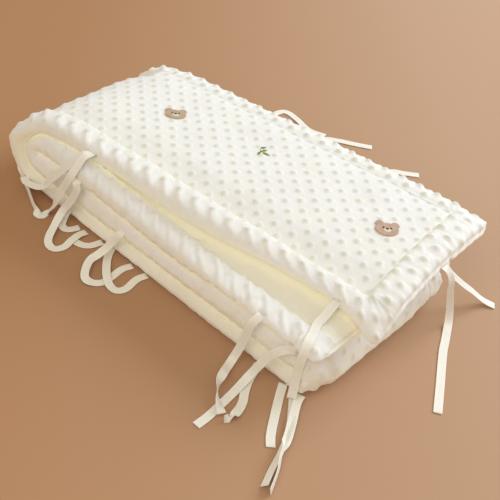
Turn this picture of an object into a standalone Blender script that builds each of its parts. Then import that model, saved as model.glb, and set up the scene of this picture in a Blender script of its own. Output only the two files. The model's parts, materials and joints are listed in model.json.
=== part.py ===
"""Crib bumper, folded into four layers and lying flat, with its ribbon ties.

Run with:  blender --background --python part.py
Lengths in the tables are millimetres; meshes are built in metres, +Z up.
X runs along the folded stack, Y across it, and the floor is z = 0.
"""
import math

import bmesh
import bpy
from mathutils import Vector
from mathutils.bvhtree import BVHTree

MM = 0.001

# ---- driving dimensions, mm --------------------------------------------------
PAD_WIDTH = 294.0        # stuffed width of the bumper, seam to seam
LAYER_PITCH = 33.0       # height taken by one folded layer
LAYER_GAP = 1.2          # air between two layers at their fullest
RIM_WIDTH = 38.0         # padded border, seam to stitch line
RIM_CREST = 19.0         # seam to the border's fullest line
STITCH_HALF = 8.5        # half thickness left at the stitch line
CROWN_REACH = 52.0       # stitch line to the panel's full thickness
TOP_END_X = 313.0        # free end of the top layer
SECOND_END_X = 291.0     # free end of the second layer
LEFT_FOLD_X = -275.0     # centre of the nested folds at the left
RIGHT_FOLD_X = 269.0     # centre of the lower fold at the right
SKEW_PIVOT_X = -340.0    # the lower layers turn about this line
SKEW_DEG = -5.4          # how far the lower layers lie askew of the top one
TOP_CENTRE_Y = 25.5      # middle of the top layer
LOWER_CENTRE_Y = 11.8    # middle of the lower layers at the pivot
FOLD_REACH = 110.0       # length over which the layers turn to meet in the left fold
FOLD_TURN_TOP = 118.0    # heights between which the left fold takes up the turn
FOLD_TURN_LOW = 60.0
LIFT_HEIGHT = 16.0       # how far the outer fold rises off the floor
LIFT_RUN = 95.0          # length over which it rises
LYING_SPREAD = 1.12      # the bottom face presses this much wider flat on the floor
FOLD_FLARE = 4.5         # how far the left fold bulges out past the front
TWIST_DROP = 11.0        # the stack is lower by this at two opposite corners
EDGE_DROP = 6.0          # and by this along its front and back
FOLD_SAG = 16.0          # and by this over the outer fold
CORNER_DROP = 21.0       # the top layer's front right corner hangs by this
CORNER_ROUND = 9.0       # radius of the pad's four corners
FRONT_TUCK = 7.0         # the top layer's front border rolls back by this
FRONT_RAISE = 6.0        # and its lower side lifts by this
SECOND_PUFF = 9.0        # the second layer swells up under the top one at the left
TIE_WIDTH = 12.0         # satin ribbon of the ties
TIE_THICK = 1.0
TIE_STEP = 9.0           # length of one straight piece of a ribbon's curve
SEAT = 0.3               # air left between two pieces that touch
BEAR_WIDTH = 33.0        # face patch: head
BEAR_HEIGHT = 26.0
EAR_OUT = 11.0           # its ears, from the middle of the face
EAR_UP = 10.5
EAR_RADIUS = 6.0
PATCH_THICK = 1.8        # padded height of a face patch
PATCH_POINTS = 40        # points round its outline
LEFT_BEAR = (-159.5, 33.9, 137.0)     # x, y of the face's middle, and where its top points
RIGHT_BEAR = (225.2, 35.0, 132.0)

# windows, mm, over which the sags and swells above come in: none at the first, all at the second
SAG_X = (-230.0, -340.0)
PUFF_X = (60.0, -220.0)
PUFF_Y = (40.0, -100.0)
CORNER_X = (272.0, 316.0)
CORNER_Y = (-55.0, -120.0)
TUCK_X = (-240.0, 120.0)
TUCK_Y = (-85.0, -121.0)
BACK_TWIST_SHARE = 0.4   # share of the twist that shows at the back right
LIFT_START = 30.0        # the fold starts to rise this far before its centre
SECOND_TOP_LEVEL = 0.752 # heights as shares of the stack: between the top two layers
TOP_SEAM_LEVEL = 0.88    # and at the top layer's seam
FAR_FROM_END = 1000.0    # end distance of stations away from both free ends

FULL_HALF = 0.5 * (LAYER_PITCH - LAYER_GAP)
LAYER_Z = [FULL_HALF + LAYER_PITCH * row for row in range(4)]   # lowest first
NOSE_Z = 0.5 * (LAYER_Z[1] + LAYER_Z[2])
STACK_Z = LAYER_Z[3] + FULL_HALF


# ---- small helpers --------------------------------------------------------------
def smoothstep(low, high, value):
    """0 below low, 1 above high, and a soft S between."""
    t = min(1.0, max(0.0, (value - low) / (high - low)))
    return t * t * (3.0 - 2.0 * t)


def material(name, colour, roughness):
    """A cloth material: colour and roughness, no metal."""
    mat = bpy.data.materials.new(name)
    mat.use_nodes = True
    shader = mat.node_tree.nodes["Principled BSDF"]
    shader.inputs["Base Color"].default_value = (*colour, 1.0)
    shader.inputs["Roughness"].default_value = roughness
    shader.inputs["Metallic"].default_value = 0.0
    return mat


def mesh_object(name, rows, faces, mat):
    """One closed object from points in millimetres."""
    mesh = bpy.data.meshes.new(name)
    mesh.from_pydata([tuple(c * MM for c in row) for row in rows], [], faces)
    work = bmesh.new()
    work.from_mesh(mesh)
    bmesh.ops.triangulate(work, faces=work.faces[:])
    bmesh.ops.recalc_face_normals(work, faces=work.faces[:])
    work.to_mesh(mesh)
    work.free()
    mesh.materials.append(mat)
    mesh.shade_smooth()
    obj = bpy.data.objects.new(name, mesh)
    bpy.context.scene.collection.objects.link(obj)
    return obj


# ---- the folded pad ----------------------------------------------------------------
def fold_path():
    """Stations along the folded bumper: x, z, heading angle, skew share, end distance."""
    ends = (0.0, 3.0, 9.0, RIM_CREST, 29.0, RIM_WIDTH, 50.0, 72.0)
    stations = []

    def straight(x_from, x_to, z, share, steps):
        heading = 0.0 if x_to > x_from else 180.0
        for step in range(1, steps + 1):
            x = x_from + (x_to - x_from) * step / steps
            stations.append([x, z, heading, share, FAR_FROM_END])

    def free_end(x_end, z, heading, share):
        return [[x_end - d, z, heading, share, d] for d in ends]

    def turn(x, z, radius, start, sweep, steps, share):
        for step in range(1, steps + 1):
            angle = start + sweep * step / steps
            side = 90.0 if sweep > 0 else -90.0
            stations.append([x + radius * math.cos(math.radians(angle)),
                             z + radius * math.sin(math.radians(angle)),
                             angle + side, share, FAR_FROM_END])

    top, second, third, low = LAYER_Z[3], LAYER_Z[2], LAYER_Z[1], LAYER_Z[0]
    stations.extend(free_end(TOP_END_X, top, 180.0, 0.0))
    straight(TOP_END_X - ends[-1], LEFT_FOLD_X, top, 0.0, 18)
    turn(LEFT_FOLD_X, NOSE_Z, top - NOSE_Z, 90.0, 180.0, 14, 0.0)
    straight(LEFT_FOLD_X, RIGHT_FOLD_X, low, 1.0, 19)
    turn(RIGHT_FOLD_X, 0.5 * (low + third), 0.5 * (third - low), -90.0, 180.0, 8, 1.0)
    straight(RIGHT_FOLD_X, LEFT_FOLD_X, third, 1.0, 19)
    turn(LEFT_FOLD_X, NOSE_Z, 0.5 * (second - third), 270.0, -180.0, 8, 1.0)
    straight(LEFT_FOLD_X, SECOND_END_X - ends[-1], second, 1.0, 18)
    stations.extend(free_end(SECOND_END_X, second, 0.0, 1.0)[-2::-1])
    return stations


def half_thickness(distance):
    """Half the pad's thickness at a distance in from its nearest seam."""
    if distance < RIM_CREST:
        return FULL_HALF * math.sqrt(max(0.0, 1.0 - (1.0 - distance / RIM_CREST) ** 2))
    if distance < RIM_WIDTH:
        share = (distance - RIM_CREST) / (RIM_WIDTH - RIM_CREST)
        return STITCH_HALF + (FULL_HALF - STITCH_HALF) * 0.5 * (1.0 + math.cos(math.pi * share ** 1.3))
    share = smoothstep(-0.6, 1.0, (distance - RIM_WIDTH) / CROWN_REACH)
    floor = smoothstep(-0.6, 1.0, 0.0)
    share = (share - floor) / (1.0 - floor)
    return STITCH_HALF + (FULL_HALF - STITCH_HALF) * share


def place(x, z, across, share):
    """Move a point of the straight stack to where the skewed layer lies."""
    folded = smoothstep(LEFT_FOLD_X + FOLD_REACH, LEFT_FOLD_X, x)
    share += (smoothstep(FOLD_TURN_TOP, FOLD_TURN_LOW, z) - share) * folded
    turn = math.radians(SKEW_DEG) * share
    centre = TOP_CENTRE_Y + (LOWER_CENTRE_Y - TOP_CENTRE_Y) * share
    run = x - SKEW_PIVOT_X
    out_x = SKEW_PIVOT_X + run * math.cos(turn) - across * math.sin(turn)
    out_y = centre + run * math.sin(turn) + across * math.cos(turn)
    lift = LIFT_HEIGHT * smoothstep(0.0, 1.0, (LEFT_FOLD_X + LIFT_START - x) / LIFT_RUN)
    z += lift * max(0.0, 1.0 - z / LAYER_Z[2]) ** 2
    level = z / STACK_Z
    along = out_x / TOP_END_X
    over = max(-1.0, min(1.0, (out_y - TOP_CENTRE_Y) / (0.5 * PAD_WIDTH)))
    twist = TWIST_DROP * along * over * (BACK_TWIST_SHARE if over > 0.0 and along > 0.0 else 1.0)
    drop = EDGE_DROP * over * over - twist + FOLD_SAG * smoothstep(*SAG_X, out_x)
    puff = SECOND_PUFF * smoothstep(*PUFF_X, out_x) * smoothstep(*PUFF_Y, out_y)
    corner = CORNER_DROP * smoothstep(*CORNER_X, out_x) * smoothstep(*CORNER_Y, out_y)
    front = 0.0
    if level > SECOND_TOP_LEVEL:
        front = smoothstep(*TUCK_Y, out_y) * smoothstep(*TUCK_X, out_x)
    out_y += FRONT_TUCK * front
    z += FRONT_RAISE * front * smoothstep(1.0, TOP_SEAM_LEVEL, level)
    z += puff * 6.75 * level ** 2 * (1.0 - level) - drop * level ** 2
    z -= corner * min(1.0, max(0.0, (level - SECOND_TOP_LEVEL) / (TOP_SEAM_LEVEL - SECOND_TOP_LEVEL)))
    return out_x, out_y, z


def pad_point(station, across, side):
    """A point on the pad: side +1 is the dotted face, -1 the smooth face."""
    x, z, heading, share, end_distance = station
    edge = 0.5 * PAD_WIDTH - abs(across)
    from_end, from_side = CORNER_ROUND - end_distance, CORNER_ROUND - edge
    if from_end > 0.0 and from_side > 0.0:
        pull = 1.0 - max(from_end, from_side) / math.hypot(from_end, from_side)
        x -= pull * from_end
        across -= math.copysign(pull * from_side, across)
    thick = half_thickness(min(edge, end_distance))
    face = math.radians(heading - 90.0)
    flare = FOLD_FLARE * smoothstep(0.0, 60.0, LEFT_FOLD_X - x) * smoothstep(90.0, 0.0, edge)
    across -= flare if across < 0.0 else 0.0
    x += side * thick * math.cos(face)
    lying = LYING_SPREAD if z < FULL_HALF + 0.1 and side > 0 else 1.0
    z = max(0.0, z + side * thick * lying * math.sin(face))
    return place(x, z, across, share)


def folded_pad():
    """The bumper itself: one padded strip, border channel all round, folded in four."""
    near = (0.0, 3.0, 9.0, RIM_CREST, 29.0, RIM_WIDTH, 50.0, 78.0, 112.0)
    half = 0.5 * PAD_WIDTH
    lines = [-half + d for d in near] + [0.0] + [half - d for d in reversed(near)]
    stations = fold_path()
    rows = []
    index = {}
    last_row, last_line = len(stations) - 1, len(lines) - 1
    for side in (1, -1):
        for i, station in enumerate(stations):
            for j, across in enumerate(lines):
                border = i in (0, last_row) or j in (0, last_line)
                if border and side < 0:
                    index[side, i, j] = index[1, i, j]
                    continue
                index[side, i, j] = len(rows)
                rows.append(pad_point(station, across, side))
    faces = []
    for side in (1, -1):
        for i in range(last_row):
            for j in range(last_line):
                ring = [index[side, i, j], index[side, i + 1, j],
                        index[side, i + 1, j + 1], index[side, i, j + 1]]
                if (i, j) in ((0, last_line - 1), (last_row - 1, 0)):
                    ring = ring[1:] + ring[:1]
                halves = (ring[0], ring[1], ring[2]), (ring[0], ring[2], ring[3])
                faces.extend(half if side > 0 else half[::-1] for half in halves)
    return mesh_object("folded_pad", rows, faces, material("plush", (0.93, 0.90, 0.82), 0.85))


# ---- the ribbon ties -----------------------------------------------------------------
# One table per tail, from the seam it is sewn into to its cut end. Columns, mm and degrees:
# x, y, z of the strip's middle, then the compass and height angles its face looks to.
TIES = {
    "front_1a": (
        (-181, -122, 120.1, -90, 80),
        (-181, -128, 124.0, -90, 65),
        (-189, -136, 123.1, -80, 45),
        (-198, -143, 109.0, -80, 30),
        (-218, -154, 84.1, -75, 25),
        (-234, -159, 63.1, -80, 35),
        (-252, -160, 40.4, -100, 70),
        (-297, -152, 20.5, -100, 80),
        (-317, -141, 15.0, -120, 86),
    ),
    "front_1b": (
        (-164, -121.9, 119.7, -90, 80),
        (-164, -127.5, 115.5, -90, 50),
        (-181, -142, 114.3, -75, 40),
        (-183, -152, 105.8, -75, 30),
        (-188, -162, 93.6, -70, 30),
        (-203, -164, 64.4, -70, 30),
        (-212, -166, 45.0, -70, 40),
        (-237, -164, 2.0, -60, 80),
        (-239, -178, 1.2, 0, 88),
        (-259, -172, 6.5, -130, 5),
        (-293, -153, 6.5, -130, 8),
        (-318, -139, 6.2, -130, 15),
        (-335, -129, 5.8, -130, 25),
        (-354, -116, 3.5, -130, 60),
        (-374, -100, 0.8, 0, 90),
    ),
    "front_2a": (
        (-177, -151.9, 90.1, -90, 80),
        (-178, -157.5, 88.3, -80, 50),
        (-176, -160, 77.2, -70, 20),
        (-189, -162, 48.7, -62, 25),
        (-203, -166, 23.6, -62, 40),
        (-200, -185, 9.0, -75, 60),
        (-186, -210, 3.0, -60, 80),
        (-170, -214, 0.8, 0, 90),
        (-162, -201, 0.8, 0, 90),
        (-164, -183, 2.6, 0, 90),
        (-165, -166, 2.4, 0, 90),
        (-163, -154, 0.8, 0, 90),
    ),
    "front_2b": (
        (-190, -151.1, 54.2, -90, 75),
        (-191, -156, 52.5, -80, 50),
        (-200, -158, 24.3, -60, 25),
        (-203, -164, 8.3, -60, 40),
        (-197, -172, 3.0, -60, 80),
        (-187, -170, 0.8, 0, 90),
        (-178, -154, 0.8, 0, 90),
    ),
    "front_2c": (
        (-130, -153, 0.8, 0, 90),
        (-138, -173, 0.8, 0, 90),
        (-150, -180, 0.8, 0, 90),
        (-165, -181, 0.8, 0, 90),
    ),
    "front_3a": (
        (-115, -157.9, 51.8, -90, 80),
        (-116, -163.5, 50.0, -80, 50),
        (-104, -166, 38.3, -60, 20),
        (-106, -166, 20.3, -60, 30),
        (-108, -174, 10.0, -60, 55),
        (-109, -194, 8.0, -60, 60),
        (-101, -216, 6.0, -60, 65),
        (-89, -228, 4.0, -60, 75),
        (-77, -225, 1.5, 0, 88),
        (-68, -214, 0.8, 0, 90),
        (-67, -198, 0.8, 0, 90),
        (-68, -176, 0.8, 0, 90),
        (-62, -160, 0.8, 0, 90),
    ),
    "front_3b": (
        (-111, -152.9, 0.8, 0, 90),
        (-102, -170, 0.8, 0, 90),
        (-90, -185, 2.6, 0, 90),
        (-73, -202, 3.4, 0, 90),
        (-56, -213, 2.6, 0, 90),
        (-43, -213, 0.8, 0, 90),
        (-36, -202, 0.8, 0, 90),
        (-38, -176, 0.8, 0, 90),
        (-33, -160, 0.8, 0, 90),
    ),
    "front_4a": (
        (178, -185.6, 77.1, -90, 80),
        (177, -191.4, 76.0, -80, 50),
        (174, -195, 73.9, -62, 25),
        (171, -196, 55.5, -62, 20),
        (165, -199, 26.8, -62, 30),
        (161, -207, 6.2, -62, 40),
        (170, -236, 14.0, -62, 40),
        (174, -251, 9.0, -10, 10),
        (183, -262, 9.0, 10, 8),
        (194, -273, 7.0, 30, 40),
        (205, -280, 3.2, 0, 90),
    ),
    "front_5a": (
        (244, -192, 76.2, -95, 5),
        (235, -194, 75.2, -90, 10),
        (225, -198, 68.3, -75, 40),
        (214, -202, 54.0, -60, 35),
        (205, -207, 34.5, -60, 40),
        (195, -213, 9.0, -60, 60),
        (194, -235, 2.6, 0, 88),
        (194, -261, 0.8, 0, 90),
        (194, -293, 0.8, 0, 90),
        (192, -314, 0.8, 0, 90),
    ),
    "front_5b": (
        (188, -180.4, 0.8, 0, 90),
        (192, -198, 0.8, 0, 90),
        (197, -216, 0.8, 0, 90),
        (204, -232, 0.8, 0, 90),
        (212, -246, 0.8, 0, 90),
        (217, -263, 3.0, -60, 60),
        (218, -279, 6.3, -100, 10),
        (214, -287, 6.3, -90, 5),
    ),
    "front_6a": (
        (243, -115.1, 110.2, -90, 80),
        (243, -122, 108.5, -90, 65),
        (241, -138, 97.0, -60, 65),
        (240, -150, 93.5, -60, 75),
        (245, -168, 93.4, -60, 80),
        (249, -184, 93.0, -60, 60),
        (252, -194.5, 85.0, -60, 25),
        (252, -199, 70.0, -62, 12),
        (251, -200, 48.7, -62, 12),
        (252, -202, 26.4, -62, 20),
        (253, -205, 4.5, -60, 60),
    ),
    "front_6b": (
        (250, -187, 0.8, 0, 90),
        (262, -205, 0.8, 0, 90),
        (277, -231, 0.8, 0, 90),
        (289, -256, 0.8, 0, 90),
        (296, -279, 0.8, 0, 90),
        (302, -304, 0.8, 0, 90),
        (309, -328, 0.8, 0, 90),
    ),
    "front_6c": (
        (262, -187, 3.2, 0, 90),
        (264, -198, 4.2, 0, 90),
        (270, -213, 4.5, -50, 80),
        (278, -230, 4.5, -50, 75),
        (288, -253, 4.5, -50, 75),
        (297, -279, 8.6, -20, 10),
        (309, -303, 7.5, -20, 5),
        (319, -331, 6.6, -30, 5),
    ),
    "front_6d": (
        (232, -185.5, 0.8, 0, 90),
        (242, -208, 0.8, 0, 90),
        (257, -239, 0.8, 0, 90),
        (270, -264, 0.8, 0, 90),
        (280, -277, 0.8, 0, 90),
    ),
    "end_7a": (
        (314, 55, 115.4, 0, 80),
        (318, 55, 110.5, 0, 35),
        (320, 64, 93.0, 10, 30),
        (326, 79, 76.0, 20, 35),
        (334, 104, 50.0, 20, 40),
        (345, 126, 28.0, 20, 50),
        (362, 144, 7.0, 20, 70),
        (378, 152, 0.8, 0, 90),
    ),
    "end_7b": (
        (314, 41, 115.2, 0, 80),
        (322, 41, 114.0, -5, 55),
        (330, 52, 92.0, -20, 25),
        (331, 62, 66.0, -30, 20),
        (334, 71, 38.0, -40, 20),
        (341, 71, 9.0, -50, 60),
        (352, 46, 0.8, 0, 90),
        (364, 14, 0.8, 0, 90),
        (390, -43, 0.8, 0, 90),
        (410, -87, 0.8, 0, 90),
    ),
    "back_8a": (
        (-110, 172.9, 107.5, 90, 80),
        (-110, 179, 106.0, 90, 55),
        (-124, 198, 82.0, 90, 25),
        (-146, 226, 38.0, 100, 30),
        (-158, 265, 6.0, 100, 70),
        (-162, 305, 0.8, 0, 90),
        (-162, 334, 0.8, 0, 90),
        (-153, 349, 0.8, 0, 90),
        (-126, 345, 0.8, 0, 90),
        (-86, 330, 2.0, 0, 90),
        (-54, 335, 2.8, 0, 90),
    ),
    "back_8b": (
        (-40, 172.9, 109.2, 90, 80),
        (-40, 179, 107.8, 90, 55),
        (-43, 196, 84.0, 90, 15),
        (-50, 228, 32.0, 90, 30),
        (-58, 268, 3.0, 90, 75),
        (-60, 305, 0.8, 0, 90),
        (-50, 329, 0.8, 0, 90),
        (-32, 342, 0.8, 0, 90),
        (-3, 356, 0.8, 0, 90),
        (26, 371, 0.8, 0, 90),
    ),
    "back_9": (
        (100, 172.9, 111.4, 90, 80),
        (100, 179, 110.0, 90, 55),
        (101, 196, 86.0, 90, 15),
        (100, 230, 30.0, 90, 30),
        (94, 272, 3.0, 90, 75),
        (88, 310, 0.8, 0, 90),
        (90, 333, 0.8, 0, 90),
        (110, 346, 0.8, 0, 90),
        (131, 360, 0.8, 0, 90),
    ),
}


def ribbon_sections(table):
    """Middle, face direction and travel direction at close steps along one tail."""
    points = [Vector(row[:3]) for row in table]
    faces = []
    for row in table:
        compass, height = math.radians(row[3]), math.radians(row[4])
        faces.append(Vector((math.cos(height) * math.cos(compass),
                             math.cos(height) * math.sin(compass), math.sin(height))))
    middles, looks, travels = [points[0]], [faces[0]], [(points[1] - points[0]).normalized()]
    last = len(points) - 1
    for k in range(last):
        before, after = points[max(0, k - 1)], points[min(last, k + 2)]
        here, there = points[k], points[k + 1]
        reach = (there - here).length
        pull_here = (there - before).normalized() * reach
        pull_there = (after - here).normalized() * reach
        steps = max(1, round(reach / TIE_STEP))
        for step in range(1, steps + 1):
            t = step / steps
            a, b = 2 * t ** 3 - 3 * t ** 2 + 1, t ** 3 - 2 * t ** 2 + t
            c, d = 3 * t ** 2 - 2 * t ** 3, t ** 3 - t ** 2
            middles.append(here * a + pull_here * b + there * c + pull_there * d)
            looks.append(faces[k].lerp(faces[k + 1], t * t * (3 - 2 * t)))
            a, b, c, d = 6 * t * t - 6 * t, 3 * t * t - 4 * t + 1, 6 * t - 6 * t * t, 3 * t * t - 2 * t
            travels.append((here * a + pull_here * b + there * c + pull_there * d).normalized())
    return middles, looks, travels


def ribbon(name, table, mat):
    """One tail: a flat strip through its table's points, lying on the floor where it reaches it."""
    middles, looks, travels = ribbon_sections(table)
    rows = []
    last = len(middles) - 1
    for k, middle in enumerate(middles):
        wide = looks[k].cross(travels[k]).normalized()
        up = travels[k].cross(wide)
        half_w, half_t = wide * (0.5 * TIE_WIDTH), up * (0.5 * TIE_THICK)
        rest = SEAT + abs(half_w.z) + abs(half_t.z)
        middle = Vector((middle.x, middle.y, max(middle.z, rest)))
        rows.extend(middle + half_w * a + half_t * b for a, b in ((-1, -1), (1, -1), (1, 1), (-1, 1)))
    faces = [(3, 2, 1, 0), tuple(4 * last + c for c in (0, 1, 2, 3))]
    for k in range(last):
        for c in range(4):
            faces.append((4 * k + c, 4 * k + (c + 1) % 4, 4 * k + 4 + (c + 1) % 4, 4 * k + 4 + c))
    return mesh_object(name, rows, faces, mat)


# ---- the two bear-face patches -----------------------------------------------------------
def bear_outline(angle):
    """Distance from the face's middle to its edge: an oval head and two round ears."""
    ray = Vector((math.cos(angle), math.sin(angle)))
    reach = 1.0 / math.hypot(ray.x / (0.5 * BEAR_WIDTH), ray.y / (0.5 * BEAR_HEIGHT))
    for turn in (1.0, -1.0):
        ear = Vector((turn * EAR_OUT, EAR_UP))
        along = ray.dot(ear)
        miss = ear.length_squared - along * along
        if along > 0.0 and miss < EAR_RADIUS ** 2:
            reach = max(reach, along + math.sqrt(EAR_RADIUS ** 2 - miss))
    return reach


def bear_patch(name, centre_x, centre_y, up_deg, pad, mat):
    """A padded face patch that follows the pad under it, SEAT above it."""
    tree = BVHTree.FromPolygons([v.co / MM for v in pad.data.vertices],
                                [tuple(p.vertices) for p in pad.data.polygons])
    turn = math.radians(up_deg - 90.0)
    rings = (0.0, 0.35, 0.7, 0.9, 1.0)
    swell = (PATCH_THICK, PATCH_THICK, 0.9 * PATCH_THICK, 0.7 * PATCH_THICK, 0.35 * PATCH_THICK)
    rows = []
    for layer in (0, 1):
        for ring, thick in zip(rings, swell):
            for k in range(PATCH_POINTS if ring else 1):
                angle = math.tau * k / PATCH_POINTS
                reach = ring * bear_outline(angle)
                x = centre_x + reach * math.cos(angle + turn)
                y = centre_y + reach * math.sin(angle + turn)
                hit = tree.ray_cast(Vector((x, y, 2.0 * STACK_Z)), Vector((0.0, 0.0, -1.0)))[0]
                rows.append((x, y, hit.z + SEAT + layer * thick))
    per_layer = 1 + (len(rings) - 1) * PATCH_POINTS
    faces = []
    for layer in (0, 1):
        base = layer * per_layer
        for k in range(PATCH_POINTS):
            nxt = (k + 1) % PATCH_POINTS
            faces.append((base, base + 1 + k, base + 1 + nxt))
            for ring in range(len(rings) - 2):
                inner, outer = base + 1 + ring * PATCH_POINTS, base + 1 + (ring + 1) * PATCH_POINTS
                faces.append((inner + k, outer + k, outer + nxt, inner + nxt))
    edge = 1 + (len(rings) - 2) * PATCH_POINTS
    for k in range(PATCH_POINTS):
        nxt = (k + 1) % PATCH_POINTS
        faces.append((edge + k, edge + nxt, per_layer + edge + nxt, per_layer + edge + k))
    return mesh_object(name, rows, faces, mat)


# ---- run -------------------------------------------------------------------------
for stale in list(bpy.data.objects):
    bpy.data.objects.remove(stale, do_unlink=True)
pad_object = folded_pad()
ribbon_material = material("ribbon", (0.90, 0.85, 0.74), 0.55)
for tie_name, tie_table in TIES.items():
    ribbon("tie_" + tie_name, tie_table, ribbon_material)
bear_patch("bear_patch_left", *LEFT_BEAR, pad_object, material("tan_felt", (0.67, 0.50, 0.34), 0.9))
bear_patch("bear_patch_right", *RIGHT_BEAR, pad_object, material("pink_felt", (0.76, 0.58, 0.50), 0.9))
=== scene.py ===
import json
import math
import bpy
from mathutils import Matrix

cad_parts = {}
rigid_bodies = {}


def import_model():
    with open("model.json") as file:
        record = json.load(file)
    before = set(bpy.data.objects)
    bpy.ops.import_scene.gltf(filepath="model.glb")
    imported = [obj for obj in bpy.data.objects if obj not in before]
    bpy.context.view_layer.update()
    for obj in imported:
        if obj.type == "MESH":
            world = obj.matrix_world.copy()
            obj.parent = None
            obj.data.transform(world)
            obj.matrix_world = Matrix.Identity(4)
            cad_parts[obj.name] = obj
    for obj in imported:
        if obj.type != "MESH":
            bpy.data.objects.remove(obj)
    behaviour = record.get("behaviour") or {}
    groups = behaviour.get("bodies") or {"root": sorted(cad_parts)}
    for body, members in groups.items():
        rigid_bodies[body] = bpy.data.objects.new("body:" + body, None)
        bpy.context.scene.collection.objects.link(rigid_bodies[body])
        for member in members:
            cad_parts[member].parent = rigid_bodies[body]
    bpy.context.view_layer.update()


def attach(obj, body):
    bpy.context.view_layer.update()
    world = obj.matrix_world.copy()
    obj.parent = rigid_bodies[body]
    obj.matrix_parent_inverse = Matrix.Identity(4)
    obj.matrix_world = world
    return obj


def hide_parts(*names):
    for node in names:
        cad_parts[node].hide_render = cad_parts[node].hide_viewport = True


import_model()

from types import SimpleNamespace

import bpy
import numpy as np
from bpy.props import FloatProperty, FloatVectorProperty, PointerProperty
from bpy.types import Operator, Panel, PropertyGroup
from mathutils import Matrix, Vector
from mathutils.bvhtree import BVHTree
from mathutils.kdtree import KDTree

bl_info = {
    "name": "Folded crib bumper",
    "version": (1, 0, 0),
    "blender": (4, 5, 0),
    "location": "3D View > Sidebar > Bumper",
    "description": "Plush pad, ribbon ties, face patches and leaf sprig of a folded crib bumper",
    "category": "Object",
}

MM = 0.001
BODY = "root"

# ---- the pad as a whole, mm. The layers, folds and ends are the solid's. The stitch line, the tuck and
# the skew, and the moves of the filling, folds and corners, are set a little closer to the photograph.
# A pair of numbers is a window: what it governs is 0 at the first and whole at the second.
PAD_WIDTH = 294.0
LAYER_PITCH = 33.0
LAYER_GAP = 1.2
RIM_WIDTH = 38.0  # the stuffed border, from the seam to the stitch line
RIM_CREST = 19.0  # where the border is fullest
RIM_POWER = 3  # how squarely it falls to the stitch line
STITCH_HALF = 6.0  # half the thickness at the stitch line
CROWN_REACH = 52.0  # the panel is full this far in from the stitch line
CROWN_START = -0.6  # its rise is the end of a soft S that starts this much earlier
PROFILE_STEPS = (60, 400)
CORNER_ROUND = 9.0

TOP_END_X = 313.0
SECOND_END_X = 291.0
LEFT_FOLD_X = -275.0
RIGHT_FOLD_X = 269.0

# the lower layers are turned a little against the top one; round the left fold the turn grows downwards
SKEW_PIVOT_X = -340.0
SKEW_DEG = -5.4
TOP_CENTRE_Y = 25.5
LOWER_CENTRE_Y = 11.8
FOLD_REACH = 110.0
FOLD_TURN = (118.0, 60.0)

# Moves: the most a point is moved, then a window for each of the values that govern it.
# The left fold's front edge flares out, and its top sags.
FOLD_FLARE = (4.5, (0.0, 60.0), (90.0, 0.0))
FOLD_SAG = (16.0, (-230.0, -340.0))
# The filling under the top layer swells at the front left; the top's front right corner hangs.
FRONT_SWELL = (9.0, (60.0, -220.0), (40.0, -100.0))
CORNER_DROP = (21.0, (272.0, 316.0), (-55.0, -120.0))
# The right fold is drawn in, most at the front, and at the back it reaches further back.
FOLD_NARROW = (13.0, (55.0, 0.0))
FOLD_OUT = (-5.0, (60.0, 130.0))
FOLD_BACK = (10.0, (50.0, 140.0))
ROUND_FOLD = (0.0, 28.0)
# The top layer's back corner spreads out and hangs.
END_SPREAD = (8.0, (-30.0, 130.0), (60.0, 0.0))
CORNER_HANG = (6.0, (90.0, 145.0), (55.0, 8.0))

LIFT_HEIGHT = 16.0  # the left fold's underside is lifted
LIFT_START = 30.0
LIFT_RUN = 95.0
LYING_SPREAD = 1.12  # cloth that lies on the floor is spread flat by this factor
EDGE_DROP = 6.0  # the top falls to its edges, and twists from corner to corner
TWIST_DROP = 11.0
BACK_TWIST_SHARE = 0.4
END_SEAM_DROP = 6.0  # the second layer's end seam droops
END_DROP_X = (205.0, 250.0)
PEAK_SCALE = 6.75  # brings level ** 2 * (1 - level) to 1 at its highest; a level is a share of STACK_Z

FRONT_TUCK = 8.0  # the top layer's front is tucked in and raised, less so at the corner
FRONT_RAISE = 6.5
TUCK_AT_LEFT = -0.45
TUCK_X = (-20.0, 215.0)
TUCK_Y = (-85.0, -121.0)
CORNER_FREE = 0.9
CORNER_FREE_X = (225.0, 300.0)
SECOND_TOP_LEVEL = 0.752
TOP_SEAM_LEVEL = 0.88
FOLD_TUCK_LEVEL = 0.45  # round the left fold the tuck starts from this level

SHIFTS = (  # where the filling has shifted: level, reach, rise, windows along and across
    (0.50, 0.25, 12.0, (0.0, 150.0), (-70.0, -125.0)),
    (0.25, 0.22, -7.0, (40.0, -140.0), (-70.0, -125.0)),
)

FULL_HALF = 0.5 * (LAYER_PITCH - LAYER_GAP)
LAYER_Z = [FULL_HALF + LAYER_PITCH * row for row in range(4)]
NOSE_Z = 0.5 * (LAYER_Z[1] + LAYER_Z[2])
STACK_Z = LAYER_Z[3] + FULL_HALF
HALF_WIDTH = 0.5 * PAD_WIDTH
PANEL_HALF = HALF_WIDTH - RIM_WIDTH
FAR_FROM_END = 1000.0

# stretches of cloth in the order of the strip, and the columns of a station along it
TOP, OUTER, LOW, RIGHT, THIRD, INNER, SECOND = range(7)
X, Z, HEADING, SHARE, FROM_END, ALONG, STRETCH = range(7)

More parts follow.
